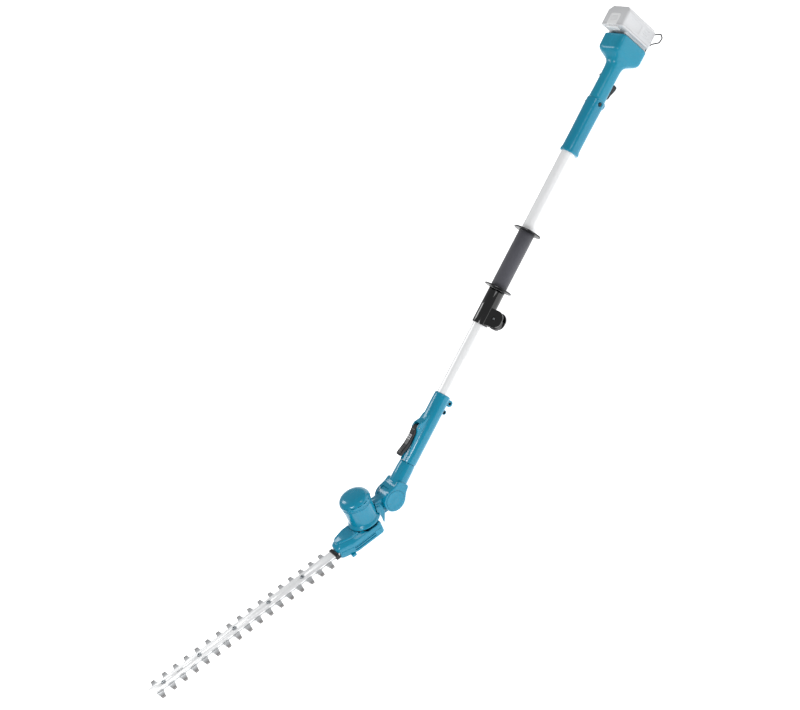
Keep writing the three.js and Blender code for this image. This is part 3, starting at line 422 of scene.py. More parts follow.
def slab(outline, low, high, plane="xz", soft=0.0, segments=3):
    """An outline pushed between two depths, both its rims rounded. The plane names the outline's axes."""
    bm = bmesh.new()
    orders = {
        "xz": lambda a, b, depth: (a, depth, b),
        "xy": lambda a, b, depth: (a, b, depth),
        "yz": lambda a, b, depth: (depth, a, b),
    }
    rims = []
    for depth in (low, high):
        verts = [bm.verts.new(orders[plane](a, b, depth)) for a, b in outline]
        bm.faces.new(verts)
        rims.append([bm.edges.get((verts[i - 1], verts[i])) for i in range(len(verts))])
        rims[-1].append(verts)
    one, two = rims[0].pop(), rims[1].pop()
    for i in range(len(one)):
        bm.faces.new((one[i - 1], one[i], two[i], two[i - 1]))
    bmesh.ops.recalc_face_normals(bm, faces=bm.faces)
    if soft > 0:
        edges = [edge for rim in rims for edge in rim]
        bmesh.ops.bevel(
            bm, geom=edges, offset=soft, segments=segments, profile=0.5, affect="EDGES", clamp_overlap=True,
        )
    return bm


def moved(bm, matrix):
    bm.transform(matrix)
    return bm


ear_outline = rounded([
    (pin_x - ear_half, -10, 0), (pin_x - ear_half, -ear_reach, 19),
    (pin_x + ear_half, -ear_reach, 19), (pin_x + ear_half, -10, 0),
], 10)
ears = [slab(ear_outline, *side, "xz", 1.2) for side in ((-ear_out, -ear_in), (ear_in, ear_out))]
bridge_outline = rounded([
    (pin_x + ear_half - 3, -19, 0), (pin_x + ear_half - 3, -33, 1), (pin_x + ear_half - 0.6, -33, 1),
    (pin_x + ear_half - 0.6, -19, 0),
], 4)
sleeve_ring = spun([
    (start, inner_radius + 0.35), (start, clamp_radius - 1.2), (start + 0.4, clamp_radius - 0.4),
    (start + 1.2, clamp_radius), (end - 1.2, clamp_radius), (end - 0.4, clamp_radius - 0.4),
    (end, clamp_radius - 1.2), (end, inner_radius + 0.35),
])
ring_cut = spun([(start - 1, 0), (start - 1, 20), (end + 1, 20), (end + 1, 0)])
ear_set = shaped("ear_set", ears[0], added=[ears[1], slab(bridge_outline, -9, 9, "xz", 0.8)], cut=[ring_cut])
ear_mesh = bmesh.new()
ear_mesh.from_mesh(ear_set.data)
bpy.data.objects.remove(ear_set)
pin_way = spun([(-40, 0), (-40, 2.8), (40, 2.8), (40, 0)], "y", 40, (pin_x, 0, -pin_out))
dimple = spun([(-ear_out - 1, 0), (-ear_out - 1, 6.6), (-ear_out + 1.1, 5.8), (-ear_out + 1.1, 0)], "y", 48,
              (pin_x, 0, -pin_out))
tube_seat = reach("outer_tube")[0] - 0.3
step_cut = spun([(tube_seat, 0), (tube_seat, tube_fit), (end + 1, tube_fit), (end + 1, 0)])
clamp = shaped(
    "clamp_sleeve_moulding", sleeve_ring, added=[moved(ear_mesh, clamp_turn)],
    cut=[moved(pin_way, clamp_turn), moved(dimple, clamp_turn), step_cut], soften=0.25, limit=50,
)
fitted(clamp, pole, "handle", gloss_black, ["clamp_sleeve"])

cam = spun([(-8.2, 0), (-8.2, 12.6), (-7.6, 13.3), (7.6, 13.3), (8.2, 12.6), (8.2, 0)], "y", 64)
lever_outline = rounded([
    (-ear_half - 2, 2, 3), (-ear_half - 2, -13, 9), (-9, -20, 9), (3, -19, 5), (8, -6, 2), (0, 6, 2),
], 6)
finger_grooves = [
    spun([(-9, 0), (-9, 1.3), (9, 1.3), (9, 0)], "y", 20, (-ear_half - 2.4 + 0.4 * k, 0, -3 - 3.6 * k))
    for k in range(4)
]
lever_way = spun([(-9, 0), (-9, 2.8), (9, 2.8), (9, 0)], "y", 40)
lever = shaped(
    "clamp_cam_lever", cam, added=[slab(lever_outline, -8.2, 8.2, "xz", 1.2)],
    cut=[lever_way, *finger_grooves], soften=0.2, limit=50,
)
clamp_place = pole @ clamp_turn @ Matrix.Translation((pin_x, 0, -pin_out))
fitted(lever, clamp_place, "clamp_lever", black_nylon, ["clamp_lever"])
pin_length = 14
pin = shaped("clamp_lever_pin", spun([
    (-pin_length, 0), (-pin_length, 2), (-pin_length + 0.5, 2.5), (pin_length - 0.5, 2.5), (pin_length, 2),
    (pin_length, 0),
], "y", 40))
fitted(pin, clamp_place, "handle", plain_steel, ["clamp_pin"])


# ---- handle shells and rear housing ----
# Two pairs of glass-filled nylon mouldings, screwed together from the right on the pole's middle
# plane. The rear pair is a lighter teal and widens into the foot that the battery slides on.

teal_nylon = moulded("teal_nylon", "0086a6", 0.26, coat=0.45, grain=700, depth=0.00002, light=1.35)
light_teal_nylon = moulded(
    "light_teal_nylon", "0c8eac", 0.32, coat=0.3, grain=1100, depth=0.00004, light=1.35,
)

front_low, seam_x = reach("handle_shell_left")
seam_x += 0.15
mount_end = reach("rear_housing_left")[1]


def squircle(half, bottom, top, power, count=96):
    """A section in Y and Z between an ellipse (power 2) and a box (higher powers)."""
    middle, tall = (top + bottom) / 2, (top - bottom) / 2
    points = []
    for i in range(count):
        angle = 2 * math.pi * (i + 0.5) / count
        c, s = math.cos(angle), math.sin(angle)
        points.append((
            half * math.copysign(abs(c) ** (2 / power), c),
            middle + tall * math.copysign(abs(s) ** (2 / power), s),
        ))
    return points


def lofted(sections, place=lambda along, a, b: (along, a, b)):
    """A closed skin through sections, each (place along, outline), with flat ends."""
    bm = bmesh.new()
    rings = [[bm.verts.new(place(along, a, b)) for a, b in outline] for along, outline in sections]
    for one, two in zip(rings, rings[1:]):
        for i in range(len(one)):
            bm.faces.new((one[i - 1], one[i], two[i], two[i - 1]))
    bm.faces.new(rings[0])
    bm.faces.new(rings[-1])
    bmesh.ops.recalc_face_normals(bm, faces=bm.faces)
    return bm


housing_stations = [
    (0.0, 20.9, -23.2, 20.7, 2.3), (0.6, 22.0, -24.6, 21.8, 2.3), (2.0, 22.8, -25.7, 22.6, 2.3),
    (5.5, 22.9, -25.9, 22.7, 2.3), (8.5, 22.3, -25.1, 22.1, 2.3), (11.0, 21.6, -24.1, 21.4, 2.3),
    (19.0, 21.2, -23.5, 20.9, 2.3), (60.0, 21.1, -23.4, 20.8, 2.3), (100.0, 21.2, -23.6, 20.8, 2.4),
    (130.0, 21.5, -24.0, 20.9, 2.4), (144.4, 21.7, -24.2, 21.0, 2.4), (146.0, 21.5, -24.0, 20.8, 2.4),
    (147.4, 20.2, -23.4, 19.6, 2.4), (152.0, 19.3, -23.0, 18.8, 2.4), (190.0, 18.7, -22.6, 18.4, 2.4),
    (232.0, 18.9, -22.8, 18.6, 2.4), (243.0, 20.0, -24.4, 19.9, 2.5), (249.0, 22.6, -28.2, 23.2, 2.7),
    (253.5, 26.6, -33.2, 28.2, 3.1), (257.5, 31.0, -39.2, 34.2, 3.8), (261.0, 34.6, -43.6, 39.4, 4.6),
    (264.5, 36.6, -46.3, 43.0, 5.4), (268.0, 37.5, -47.5, 45.1, 6.2), (272.0, 37.9, -48.0, 45.9, 7.0),
    (290.0, 38.0, -48.0, 46.0, 7.5), (302.6, 38.0, -48.0, 46.0, 7.5), (304.4, 37.6, -47.6, 45.6, 7.5),
    (305.4, 36.8, -46.8, 44.8, 7.5), (305.7, 35.8, -45.8, 43.8, 7.5),
]
scale_to_end = (mount_end - front_low) / housing_stations[-1][0]
housing = lofted([
    (front_low + along * scale_to_end, squircle(half, bottom, top, power))
    for along, half, bottom, top, power in housing_stations
])
finger_stop = bmesh.new()
bmesh.ops.create_uvsphere(finger_stop, u_segments=48, v_segments=24, radius=1)
moved(finger_stop, Matrix.Translation((seam_x - 4, 0, -22.5)) @ Matrix.Diagonal((12, 13, 8.5, 1)))

hanger_start = reach("hanger_loop")[0]
tx0, tx1 = reach("trigger")
button_x, _, button_z = centre("lock_off_button")


def brick(x0, x1, y0, y1, z0, z1):
    return slab([(x0, z0), (x1, z0), (x1, z1), (x0, z1)], y0, y1)


tube_stop = reach("outer_tube")[1] + 0.3
tube_hole = spun([(front_low - 5, 0), (front_low - 5, tube_fit), (tube_stop, tube_fit), (tube_stop, 6),
                  (tube_stop + 10, 6), (tube_stop + 10, 0)])
shell_wall = 3.6
room_start, room_end = 127, 303
shell_room = lofted([
    (front_low + along * scale_to_end,
     squircle(half - shell_wall, bottom + shell_wall, top - shell_wall, power))
    for along, half, bottom, top, power in housing_stations if room_start < along < room_end
])
hanger_groove = brick(hanger_start - 0.3, mount_end + 1, -60, -7, -50, -44.75)
trigger_way = brick(tx0 - 1, tx1 + 3, -8, 8, -60, -9.4)
button_dish = spun([
    (-30, 0), (-30, 9.8), (-21.4, 8.8), (-20.4, 6.8), (-19.6, 5.4), (-12, 5.3), (-12, 0),
], "y", 64, (button_x, 0, button_z))
terminal_room = brick(mount_end - 12, mount_end + 5, -22, 22, -18, 26)
screw_spots = []
for i, head_at, tail_at in ((1, 17.4, -12.0), (2, 14.2, -8.0), (3, 36.4, -30.0)):
    x, _, z = centre(f"housing_screw_{i}")
    screw_spots.append((x, z, head_at, tail_at))
screw_ways = [
    spun([(head_at - 2.9, 0), (head_at - 2.9, 3.9), (head_at + 6, 3.9), (head_at + 6, 0)], "y", 32, (x, 0, z))
    for x, z, head_at, _ in screw_spots
]
screw_bosses = [
    spun([(tail_at + 1, 2.1), (tail_at + 1, 4), (head_at - 6, 4), (head_at - 6, 2.1)], "y", 32, (x, 0, z))
    for x, z, head_at, tail_at in screw_spots
]


def taken(made):
    """An object's mesh as a bmesh, the object itself removed."""
    bm = bmesh.new()
    bm.from_mesh(made.data)
    bpy.data.objects.remove(made)
    return bm


housing = shaped(
    "housing_hollow", housing, added=[finger_stop],
    cut=[tube_hole, shell_room, trigger_way, button_dish, terminal_room, hanger_groove],
)
housing = shaped("housing", taken(housing), added=screw_bosses, cut=screw_ways)


def parted(name, whole, planes):
    """A copy of a closed mesh, kept only behind each plane, given as (point, direction), and closed."""
    bm = bmesh.new()
    bm.from_mesh(whole.data)
    for point, direction in planes:
        everything = bm.verts[:] + bm.edges[:] + bm.faces[:]
        bmesh.ops.bisect_plane(bm, geom=everything, plane_co=point, plane_no=direction, clear_outer=True)
        bmesh.ops.holes_fill(bm, edges=[edge for edge in bm.edges if edge.is_boundary])
    return bm


half_gap = 0.12
for side, name in ((-1, "left"), (1, "right")):
    middle = ((0, side * half_gap, 0), (0, -side, 0))
    front = parted("front", housing, [middle, ((seam_x - half_gap, 0, 0), (1, 0, 0))])
    rear = parted("rear", housing, [middle, ((seam_x + half_gap, 0, 0), (-1, 0, 0))])
    front = shaped(f"handle_moulding_{name}", front, soften=0.35, limit=60)
    rear = shaped(f"rear_moulding_{name}", rear, soften=0.35, limit=60)
    fitted(front, pole, "handle", teal_nylon, [f"handle_shell_{name}"])
    fitted(rear, pole, "handle", light_teal_nylon, [f"rear_housing_{name}"])
bpy.data.objects.remove(housing)


# ---- trigger, lock-off button and housing screws ----
# The trigger is a black nylon lever under the handle, hinged at its front end on a steel pin. The
# lock-off button sits in a dished seat on the left, and steel screws close the shells on the right.

tz0, tz1 = heights("trigger")
trigger_outline = rounded([
    (tx0, tz1, 2), (tx0, tz1 - 11, 2), (tx0 + 9, tz0 + 8.5, 7), (tx0 + 20, tz0 + 6.2, 14),
    (tx0 + 37, tz0, 9), (tx1 - 1.5, tz0 + 0.2, 2.5), (tx1, tz0 + 7, 3), (tx1, tz1 - 3, 2), (tx1 - 3, tz1, 2),
], 8)
finger_ribs = [
    spun([(-5, 0), (-5, 0.55), (5, 0.55), (5, 0)], "y", 16, (tx0 + 16 + 4 * k, 0, tz0 + 6.6 - 1.15 * k))
    for k in range(4)
]
hinge_x, _, hinge_z = centre("trigger_pin")
hinge = (hinge_x, 0, hinge_z)
pin_way = spun([(-10, 0), (-10, 2.3), (10, 2.3), (10, 0)], "y", 32, hinge)
trigger = shaped("trigger_lever", slab(trigger_outline, -6.6, 6.6, "xz", 2.2, 4), cut=[pin_way, *finger_ribs],
                 soften=0.2, limit=50)
fitted(trigger, pole, "trigger", black_nylon, ["trigger"])

button_low, button_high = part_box("lock_off_button")
by0, by1 = button_low.y * 1000 + 2.6, button_high.y * 1000
button = shaped("lock_off_cap", spun([
    (by1, 0), (by1, 5), (by0 + 1.2, 5), (by0 + 0.4, 4.6), (by0, 3.9), (by0 + 0.5, 2.4), (by0 + 0.7, 0),
], "y", 64, (button_x, 0, button_z)))
fitted(button, pole, "lock_off", black_nylon, ["lock_off_button"])


def star_screw(length, head=3.5, shank=2.0, thick=2.6):
    """A pan-head screw along +Y with a six-lobed socket, its head's top at 0."""
    body = spun([
        (-length, 0), (-length, shank - 0.4), (-length + 0.5, shank), (-thick, shank), (-thick, head - 0.2),
        (-thick + 0.3, head), (-0.9, head), (-0.3, head - 0.6), (0, head - 1.5), (0, 0),
    ], "y", 40)
    lobes = [(2.0 if i % 2 else 1.45, math.pi * i / 6) for i in range(12)]
    socket = [(radius * math.cos(turn), radius * math.sin(turn)) for radius, turn in lobes]
    return body, slab(socket, -1.5, 1)


for i, (x, z, head_at, tail_at) in enumerate(screw_spots):
    body, socket = star_screw(head_at - tail_at)
    screw = shaped(f"shell_screw_{i + 1}", body, cut=[socket])
    place = pole @ Matrix.Translation((x, head_at, z))
    fitted(screw, place, "handle", black_steel, [f"housing_screw_{i + 1}"])

trigger_axle = shaped("trigger_hinge_pin", spun([
    (-14.4, 0), (-14.4, 1.5), (-13.9, 2), (13.9, 2), (14.4, 1.5), (14.4, 0),
], "y", 40, hinge))
fitted(trigger_axle, pole, "handle", plain_steel, ["trigger_pin"])


def bent_wire(name, path, thick, closed, roundness):
    """Round wire along a path of points, as a closed loop or with its two ends capped."""
    curve = bpy.data.curves.new(name, "CURVE")
    curve.dimensions = "3D"
    run = curve.splines.new("POLY")
    run.points.add(len(path) - 1)
    for point, spot in zip(run.points, path):
        point.co = (*spot, 1)
    run.use_cyclic_u = closed
    curve.bevel_depth = thick
    curve.bevel_resolution = roundness
    curve.use_fill_caps = not closed
    holder = bpy.data.objects.new(name + "_run", curve)
    scene.collection.objects.link(holder)
    mesh = bpy.data.meshes.new_from_object(holder.evaluated_get(bpy.context.evaluated_depsgraph_get()))
    bpy.data.objects.remove(holder)
    made = bpy.data.objects.new(name, mesh)
    scene.collection.objects.link(made)
    return made


def coil_spring(name, node, turns, thick):
    """A compression spring of round wire that fills a node's box from bottom to top."""
    x = centre(node)[0]
    bottom, top = heights(node)
    low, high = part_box(node)
    radius = (high.y - low.y) * 500 - thick
    turn_steps = 20
    path = []
    for i in range(turns * turn_steps + 1):
        angle = 2 * math.pi * i / turn_steps
        rise = bottom + thick + (top - bottom - 2 * thick) * i / (turns * turn_steps)
        path.append((x + radius * math.cos(angle), radius * math.sin(angle), rise))
    return bent_wire(name, path, thick, False, 3)


trigger_coil = coil_spring("trigger_return_coil", "trigger_spring", 5, 0.35)
fitted(trigger_coil, pole, "handle", plain_steel, ["trigger_spring"])
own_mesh(trigger_coil)


# ---- hanger loop ----
# One length of black-coated spring wire bent to a flat loop. Its straight end turns in a groove
# across the foot, so the loop folds under the battery or swings out to hang the tool up.

hanger_low, hanger_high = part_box("hanger_loop")
wire = 1.5
bend = 5
hanger_z = centre("hanger_loop")[2]
hx0, hx1 = hanger_low.x * 1000 + wire, hanger_high.x * 1000 - wire
hy0, hy1 = hanger_low.y * 1000 + wire, hanger_high.y * 1000 - wire
hanger_bends = [
    (hx0, -26), (hx0 + 24, -26), (hx0 + 33, -38), (hx0 + 38, hy0 + 2), (hx1 - 10, hy0), (hx1, hy0 + 10),
    (hx1 - 3, -24), (hx1 - 15, hy1), (hx0, hy1),
]
hanger_path = [(x, y, hanger_z) for x, y in rounded([(x, y, bend) for x, y in hanger_bends], 8)]
hanger = bent_wire("wire_hanger", hanger_path, wire, True, 6)
fitted(hanger, pole, "hanger", black_nylon, ["hanger_loop"])


# ---- battery pack ----
# A slide-on lithium pack: a pale grey case with chamfered back corners and moulded panels, open
# towards a face plate that carries its rails, and a release button above the mount.

pale_case = moulded("pale_case", "d4d5d7", 0.36, coat=0.1, grain=1000, depth=0.00004, light=1.15, mottle=0.03)
pale_button = moulded(
    "pale_button", "f1f2f3", 0.30, coat=0.2, grain=1300, depth=0.00002, light=1.05, mottle=0.02,
)

bx0, bx1 = reach("battery_case")
case_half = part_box("battery_case")[1].y * 1000
bz0, bz1 = heights("battery_case")


def pack_outline(inset, start):
    """The pack seen from its end, its two back corners cut off."""
    half, back = case_half - inset, bx1 - inset
    return rounded([
        (start, -half, 1.0), (back - 11, -half, 4), (back, -half + 11, 4), (back, half - 11, 4),
        (back - 11, half, 4), (start, half, 1.0),
    ], 6)


def end_to_end(bottom, top, inset, start):
    """Sections up the pack, both ends rounded over, the far end cut back on its outer side."""
    rows = [(0.0, 4.2), (0.5, 2.6), (1.6, 1.0), (3.0, 0.25), (4.5, 0.0)]
    up = [(bottom + rise, inset + pull) for rise, pull in rows]
    down = [(top - rise * 1.3, inset + pull * 1.25) for rise, pull in reversed(rows)]
    return [(z, pack_outline(pull, start)) for z, pull in up + down]


def upright(along, a, b):
    return (a, b, along)


case = lofted(end_to_end(bz0, bz1, 0, bx0), upright)
line_deep = 0.7
panel_cuts = [
    brick(bx0 + 9 + 6 * k, bx0 + 10.6 + 6 * k,
          side * case_half - line_deep, side * case_half + line_deep, bz0 + 22, bz0 + 44)
    for side in (-1, 1) for k in range(4)
]
side_panel = [
    slab(rounded([
        (bx0 + 5, bz0 + 52, 3), (bx0 + 29, bz0 + 52, 3), (bx0 + 29, bz1 - 10, 3), (bx0 + 5, bz1 - 10, 3),
    ]), side * case_half - 0.6, side * case_half + 0.6)
    for side in (-1, 1)
]
case_wall = 2.4
room_outline = pack_outline(case_wall, bx0 - 1)
case_room = lofted([(z, room_outline) for z in (bz0 + case_wall, bz1 - case_wall)], upright)
case = shaped("battery_case_moulding", case, cut=[case_room, *panel_cuts, *side_panel], soften=0.25, limit=45)
fitted(case, pole, "battery", pale_case, ["battery_case"])



def corners_of(y0, y1, z0, z1):
    return [(y0, z0), (y1, z0), (y1, z1), (y0, z1)]


def plate(y0, y1, z0, z1, radius, steps=6):
    """A rectangle across the pole, its four corners rounded."""
    return rounded([(y, z, radius) for y, z in corners_of(y0, y1, z0, z1)], steps)


lx0 = reach("battery_lid")[0]
plate_x = bx0 - 5.3
lid_outline = rounded([
    (-case_half, bz0 + 0.2, 5), (case_half, bz0 + 0.2, 5),
    (case_half, bz1 - 0.2, 6), (-case_half, bz1 - 0.2, 6),
], 8)
lid = slab(lid_outline, plate_x, bx0 - 0.3, "yz", 0.8)
rail_low, rail_high = bz0 + 3, bz1 - 30
rails = [
    slab(plate(side * 22, side * (case_half - 7), rail_low, rail_high, 1), lx0, plate_x + 1, "yz", 0.6)
    for side in (-1, 1)
]
contact_slots = [
    slab(corners_of(y - 1.6, y + 1.6, rail_low + 6, rail_low + 34), plate_x - 1, plate_x + 3.2, "yz")
    for y in (-11, 0, 11)
]
rz0, rz1 = heights("battery_release_button")
button_seat = slab(corners_of(-17, 17, rz0 - 1.5, bz1 - 3.5), lx0, bx0 - 1.3, "yz")
lid = shaped("battery_face_plate", lid, added=rails, cut=[*contact_slots, button_seat], soften=0.25, limit=45)
fitted(lid, pole, "battery", pale_case, ["battery_lid"])
end_panel = slab(rounded([(bx0 - 4.6, -17, 3), (bx0 + 26, -17, 6), (bx0 + 26, 17, 6), (bx0 - 4.6, 17, 3)]),
                 bz1 - 3, bz1 + 0.5, "xy", 0.5)
end_grip = [brick(bx0 + 8 + 3.2 * k, bx0 + 9.4 + 3.2 * k, -11, 11, bz1 - 0.1, bz1 + 1) for k in range(4)]
end_panel = shaped("battery_end_panel", end_panel, cut=end_grip, soften=0.15, limit=50)
fitted(end_panel, pole, "battery", pale_button)

rx0, rx1 = reach("battery_release_button")
release = slab(plate(-16.4, 16.4, rz0, rz1, 3), rx0, rx1, "yz", 1.0)
release_grip = [brick(rx0 - 1, rx0 + 0.5, -12, 12, rz0 + 4 + 3 * k, rz0 + 5 + 3 * k) for k in range(4)]
release = shaped("battery_release", release, cut=release_grip, soften=0.2, limit=50)
fitted(release, pole, "battery_button", pale_button, ["battery_release_button"])


# ---- adjusting housing, its lever and screws ----
# Two teal nylon halves clamped on the end of the inner tube by screws through bosses underneath.
# The black lever in the saddle on top draws the lock bolt, so the head can be tilted.

start, end = reach("adjusting_housing_left")
adjust_radius = 21
lever_x, _, lever_z = centre("lever_pin")
barrel = spun([
    (start, 0), (start, adjust_radius - 1.4), (start + 0.5, adjust_radius - 0.6),
    (start + 1.6, adjust_radius), (end - 7, adjust_radius), (end - 2.2, adjust_radius - 0.6),
    (end - 0.6, adjust_radius - 1.5), (end, adjust_radius - 2.6), (end, 0),
])
saddle_outline = rounded([
    (lever_x - 79, -2, 3), (lever_x - 76, 15, 8), (lever_x - 66, adjust_radius - 1, 14),
    (lever_x - 34, adjust_radius + 3.0, 30), (lever_x - 12, adjust_radius + 5.5, 12),
    (lever_x - 4, lever_z + 6, 5), (lever_x + 9, lever_z + 5, 7), (lever_x + 22, adjust_radius + 1.5, 16),
    (lever_x + 44, adjust_radius - 2, 12), (lever_x + 44, -2, 3),
], 8)
saddle = slab(saddle_outline, -13, 13, "xz", 2.0, 3)
boss_spots = []
for i, boss_radius in ((1, 8.5), (2, 6.0)):
    x, _, z = centre(f"adjusting_screw_{i}")
    boss_spots.append((x, z, boss_radius))
bosses = [
    spun([(-13, 0), (-13, r - 1), (-12.7, r - 0.3), (-12, r), (12, r), (12.7, r - 0.3), (13, r - 1), (13, 0)],
         "y", 64, (x, 0, z))
    for x, z, r in boss_spots
]
seat_profile = [(-14, 0), (-14, 4.4), (-9.2, 3.9), (-9.2, 0)]
screw_seats = [spun(seat_profile, "y", 40, (x, 0, z)) for x, z, _ in boss_spots]
lever_room = brick(lever_x - 88, lever_x + 11, -9.1, 9.1, adjust_radius - 6, lever_z + 30)
lever_pin_way = spun([(-20, 0), (-20, 2.3), (20, 2.3), (20, 0)], "y", 32, (lever_x, 0, lever_z))
inner_way = spun([(start - 1, 0), (start - 1, 13.5), (end - 44, 13.5), (end - 44, inner_radius + 0.3),
                  (end + 1, inner_radius + 0.3), (end + 1, 0)])
adjusting = shaped("adjusting", barrel, added=[saddle, *bosses],
                   cut=[lever_room, lever_pin_way, inner_way, *screw_seats])
for side, name in ((-1, "left"), (1, "right")):
    half = parted("half", adjusting, [((0, side * half_gap, 0), (0, -side, 0))])
    half = shaped(f"adjusting_moulding_{name}", half, soften=0.3, limit=60)
    fitted(half, pole, "inner_pole", teal_nylon, [f"adjusting_housing_{name}"])
bpy.data.objects.remove(adjusting)

left_facing = Matrix.Rotation(math.pi, 4, "Z")
for i, (x, z, _) in enumerate(boss_spots):
    body, socket = star_screw(22)
    screw = shaped(f"boss_screw_{i + 1}", body, cut=[socket])
    place = pole @ Matrix.Translation((x, -12.4, z)) @ left_facing
    fitted(screw, place, "inner_pole", black_steel, [f"adjusting_screw_{i + 1}"])

tip = reach("adjusting_lever")[0]
lever_outline = rounded([
    (lever_x + 5, lever_z + 4, 3), (lever_x + 5, lever_z - 5, 3), (lever_x - 8, lever_z - 6, 3),
    (tip + 26, lever_z - 2, 14), (tip + 3, lever_z + 5, 4), (tip, lever_z + 12.6, 3),
    (tip + 9, lever_z + 13, 5), (tip + 34, lever_z + 7.0, 22), (lever_x - 24, lever_z + 5.6, 14),
    (lever_x - 8, lever_z + 7.4, 8),
], 10)
press_lever = slab(lever_outline, -8.5, 8.5, "xz", 1.8, 4)
lever_bore = spun([(-10, 0), (-10, 2.3), (10, 2.3), (10, 0)], "y", 32, (lever_x, 0, lever_z))
press_lever = shaped("head_release_lever", press_lever, cut=[lever_bore], soften=0.2, limit=50)
fitted(press_lever, pole, "adjusting_lever", black_nylon, ["adjusting_lever"])


class Pattern(Graph):
    """A Geometry Nodes tree that repeats a piece, with named inputs."""

    def __init__(self, name, **inputs):
        super().__init__(bpy.data.node_groups.new(name, "GeometryNodeTree"))
        for label, kind in (("Piece", "Object"), *inputs.items(), ("Finish", "Material")):
            self.tree.interface.new_socket(label, in_out="INPUT", socket_type="NodeSocket" + kind)
        self.tree.interface.new_socket("Geometry", in_out="OUTPUT", socket_type="NodeSocketGeometry")

    def given(self, label):
        return self.add("NodeGroupInput", out=label)

    def repeat(self, points, turn):
        """Puts the piece at each point, makes it all one mesh and gives it its finish."""
        piece = self.add("GeometryNodeObjectInfo", None, {"Object": self.given("Piece")}, out="Geometry")
        placed = self.add("GeometryNodeInstanceOnPoints", None,
                          {"Points": points, "Instance": piece, "Rotation": turn})
        whole = self.add("GeometryNodeRealizeInstances", None, {"Geometry": placed})
        done = self.add("GeometryNodeSetMaterial", None,
                        {"Geometry": whole, "Material": self.given("Finish")})
        self.add("NodeGroupOutput", None, {"Geometry": done})


row = Pattern("pieces_in_a_row", Count="Int", First="Vector", Step="Vector", Turn="Vector")
row_line = row.add("GeometryNodeMeshLine", {"mode": "OFFSET"}, {
    "Count": row.given("Count"), "Start Location": row.given("First"), "Offset": row.given("Step"),
})
row_turn = row.add("FunctionNodeRandomValue", {"data_type": "FLOAT_VECTOR"},
                   {0: (0, 0, 0), 1: row.given("Turn"), "Seed": 7})
row.repeat(row_line, row_turn)


def patterned(name, pattern, **values):
    """One mesh from a tree of repeated pieces. Its source piece, in millimetres, is used up."""
    made = bpy.data.objects.new(name, bpy.data.meshes.new(name))
    scene.collection.objects.link(made)
    modifier = made.modifiers.new("pattern", "NODES")
    modifier.node_group = pattern.tree
    for item in pattern.tree.interface.items_tree:
        if item.in_out == "INPUT":
            modifier[item.identifier] = values[item.name]
    applied(made)
    bpy.data.objects.remove(values["Piece"])
    return made


# Three ribs across the lever's thumb end, made pale on the black lever: a painted highlight along the ribs.
rib_profile = [(-6, 0), (-6, 0.7), (-5.6, 1.1), (5.6, 1.1), (6, 0.7), (6, 0)]
thumb_rib = as_object("thumb_rib", spun(rib_profile, "y", 24))
pale_highlight_ribs = patterned("lever_thumb_ribs", row, Piece=thumb_rib, Count=3, Step=(5.5, 0, 0.25),
                       First=(lever_x - 34, 0, lever_z + 5.6), Turn=(0, 0, 0), Finish=pale_case)
fitted(pale_highlight_ribs, pole, "adjusting_lever", pale_case)

lever_axle = shaped("release_lever_pin", spun([
    (-12.1, 0), (-12.1, 1.5), (-11.6, 2), (11.6, 2), (12.1, 1.5), (12.1, 0),
], "y", 40, (lever_x, 0, lever_z)))
fitted(lever_axle, pole, "inner_pole", plain_steel, ["lever_pin"])
lever_coil = coil_spring("lever_return_coil", "lever_spring", 4, 0.35)
fitted(lever_coil, pole, "inner_pole", plain_steel, ["lever_spring"])
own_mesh(lever_coil)


# ---- coupling, its covers and the pivot ----
# A teal die-cast fork screwed on the end of the pole. Its two rounded cheeks hold the head's tongue,
# and a pressed-in disc covers each end of the pivot bolt.

pivot_low, pivot_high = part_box("pivot_bolt")
pivot = (pivot_low + pivot_high) / 2
px = pivot.x * 1000
knuckle = 30
cheek = 24.8
fork_end = reach("coupling_fork")[1]
fork_tube = spun([
    (px + 38, 0), (px + 38, 21.6), (px + 40, 21.9), (fork_end - 12, 21.0), (fork_end - 9, 20.6),
    (fork_end - 1.4, 20.2), (fork_end - 0.4, 19.7), (fork_end, 19.0), (fork_end, 0),
])
arm_outline = rounded([
    (px, knuckle, 0), (px + 11, knuckle - 1.6, 9), (px + 28, 20.6, 12), (px + 46, 17, 6), (px + 46, -17, 6),
    (px + 28, -20.6, 12), (px + 11, -knuckle + 1.6, 9), (px, -knuckle, 0),
], 8)
fork_arms = slab(arm_outline, -cheek, cheek, "xz", 3.0, 5)
eye_profile = [(-cheek, 0), (-cheek, knuckle - 2.4), (-cheek + 0.7, knuckle - 0.8), (-cheek + 2.4, knuckle),
               (cheek - 2.4, knuckle), (cheek - 0.7, knuckle - 0.8), (cheek, knuckle - 2.4), (cheek, 0)]
fork_eyes = spun(eye_profile, "y", 96, (px, 0, 0))
tongue_room = spun([(-13.8, 0), (-13.8, knuckle + 1), (13.8, knuckle + 1), (13.8, 0)], "y", 96, (px, 0, 0))
mouth = brick(px - 60, px, -13.8, 13.8, -60, 60)
cover_seats = [
    spun([(min(a, b), 0), (min(a, b), 25.3), (max(a, b), 25.3), (max(a, b), 0)], "y", 96, (px, 0, 0))
    for a, b in ((cheek - 3, cheek + 3), (-cheek + 3, -cheek - 3))
]
bolt_way = spun([(-60, 0), (-60, 6.3), (60, 6.3), (60, 0)], "y", 48, (px, 0, 0))
lock_way = spun([(px, 0), (px, 5.3), (fork_end + 5, 5.3), (fork_end + 5, 0)], "x", 32)
fork = shaped("pole_coupling", fork_tube, added=[fork_arms, fork_eyes],
              cut=[tongue_room, mouth, *cover_seats, bolt_way, lock_way], soften=0.3, limit=55)
fitted(fork, pole, "inner_pole", teal_nylon, ["coupling_fork"])

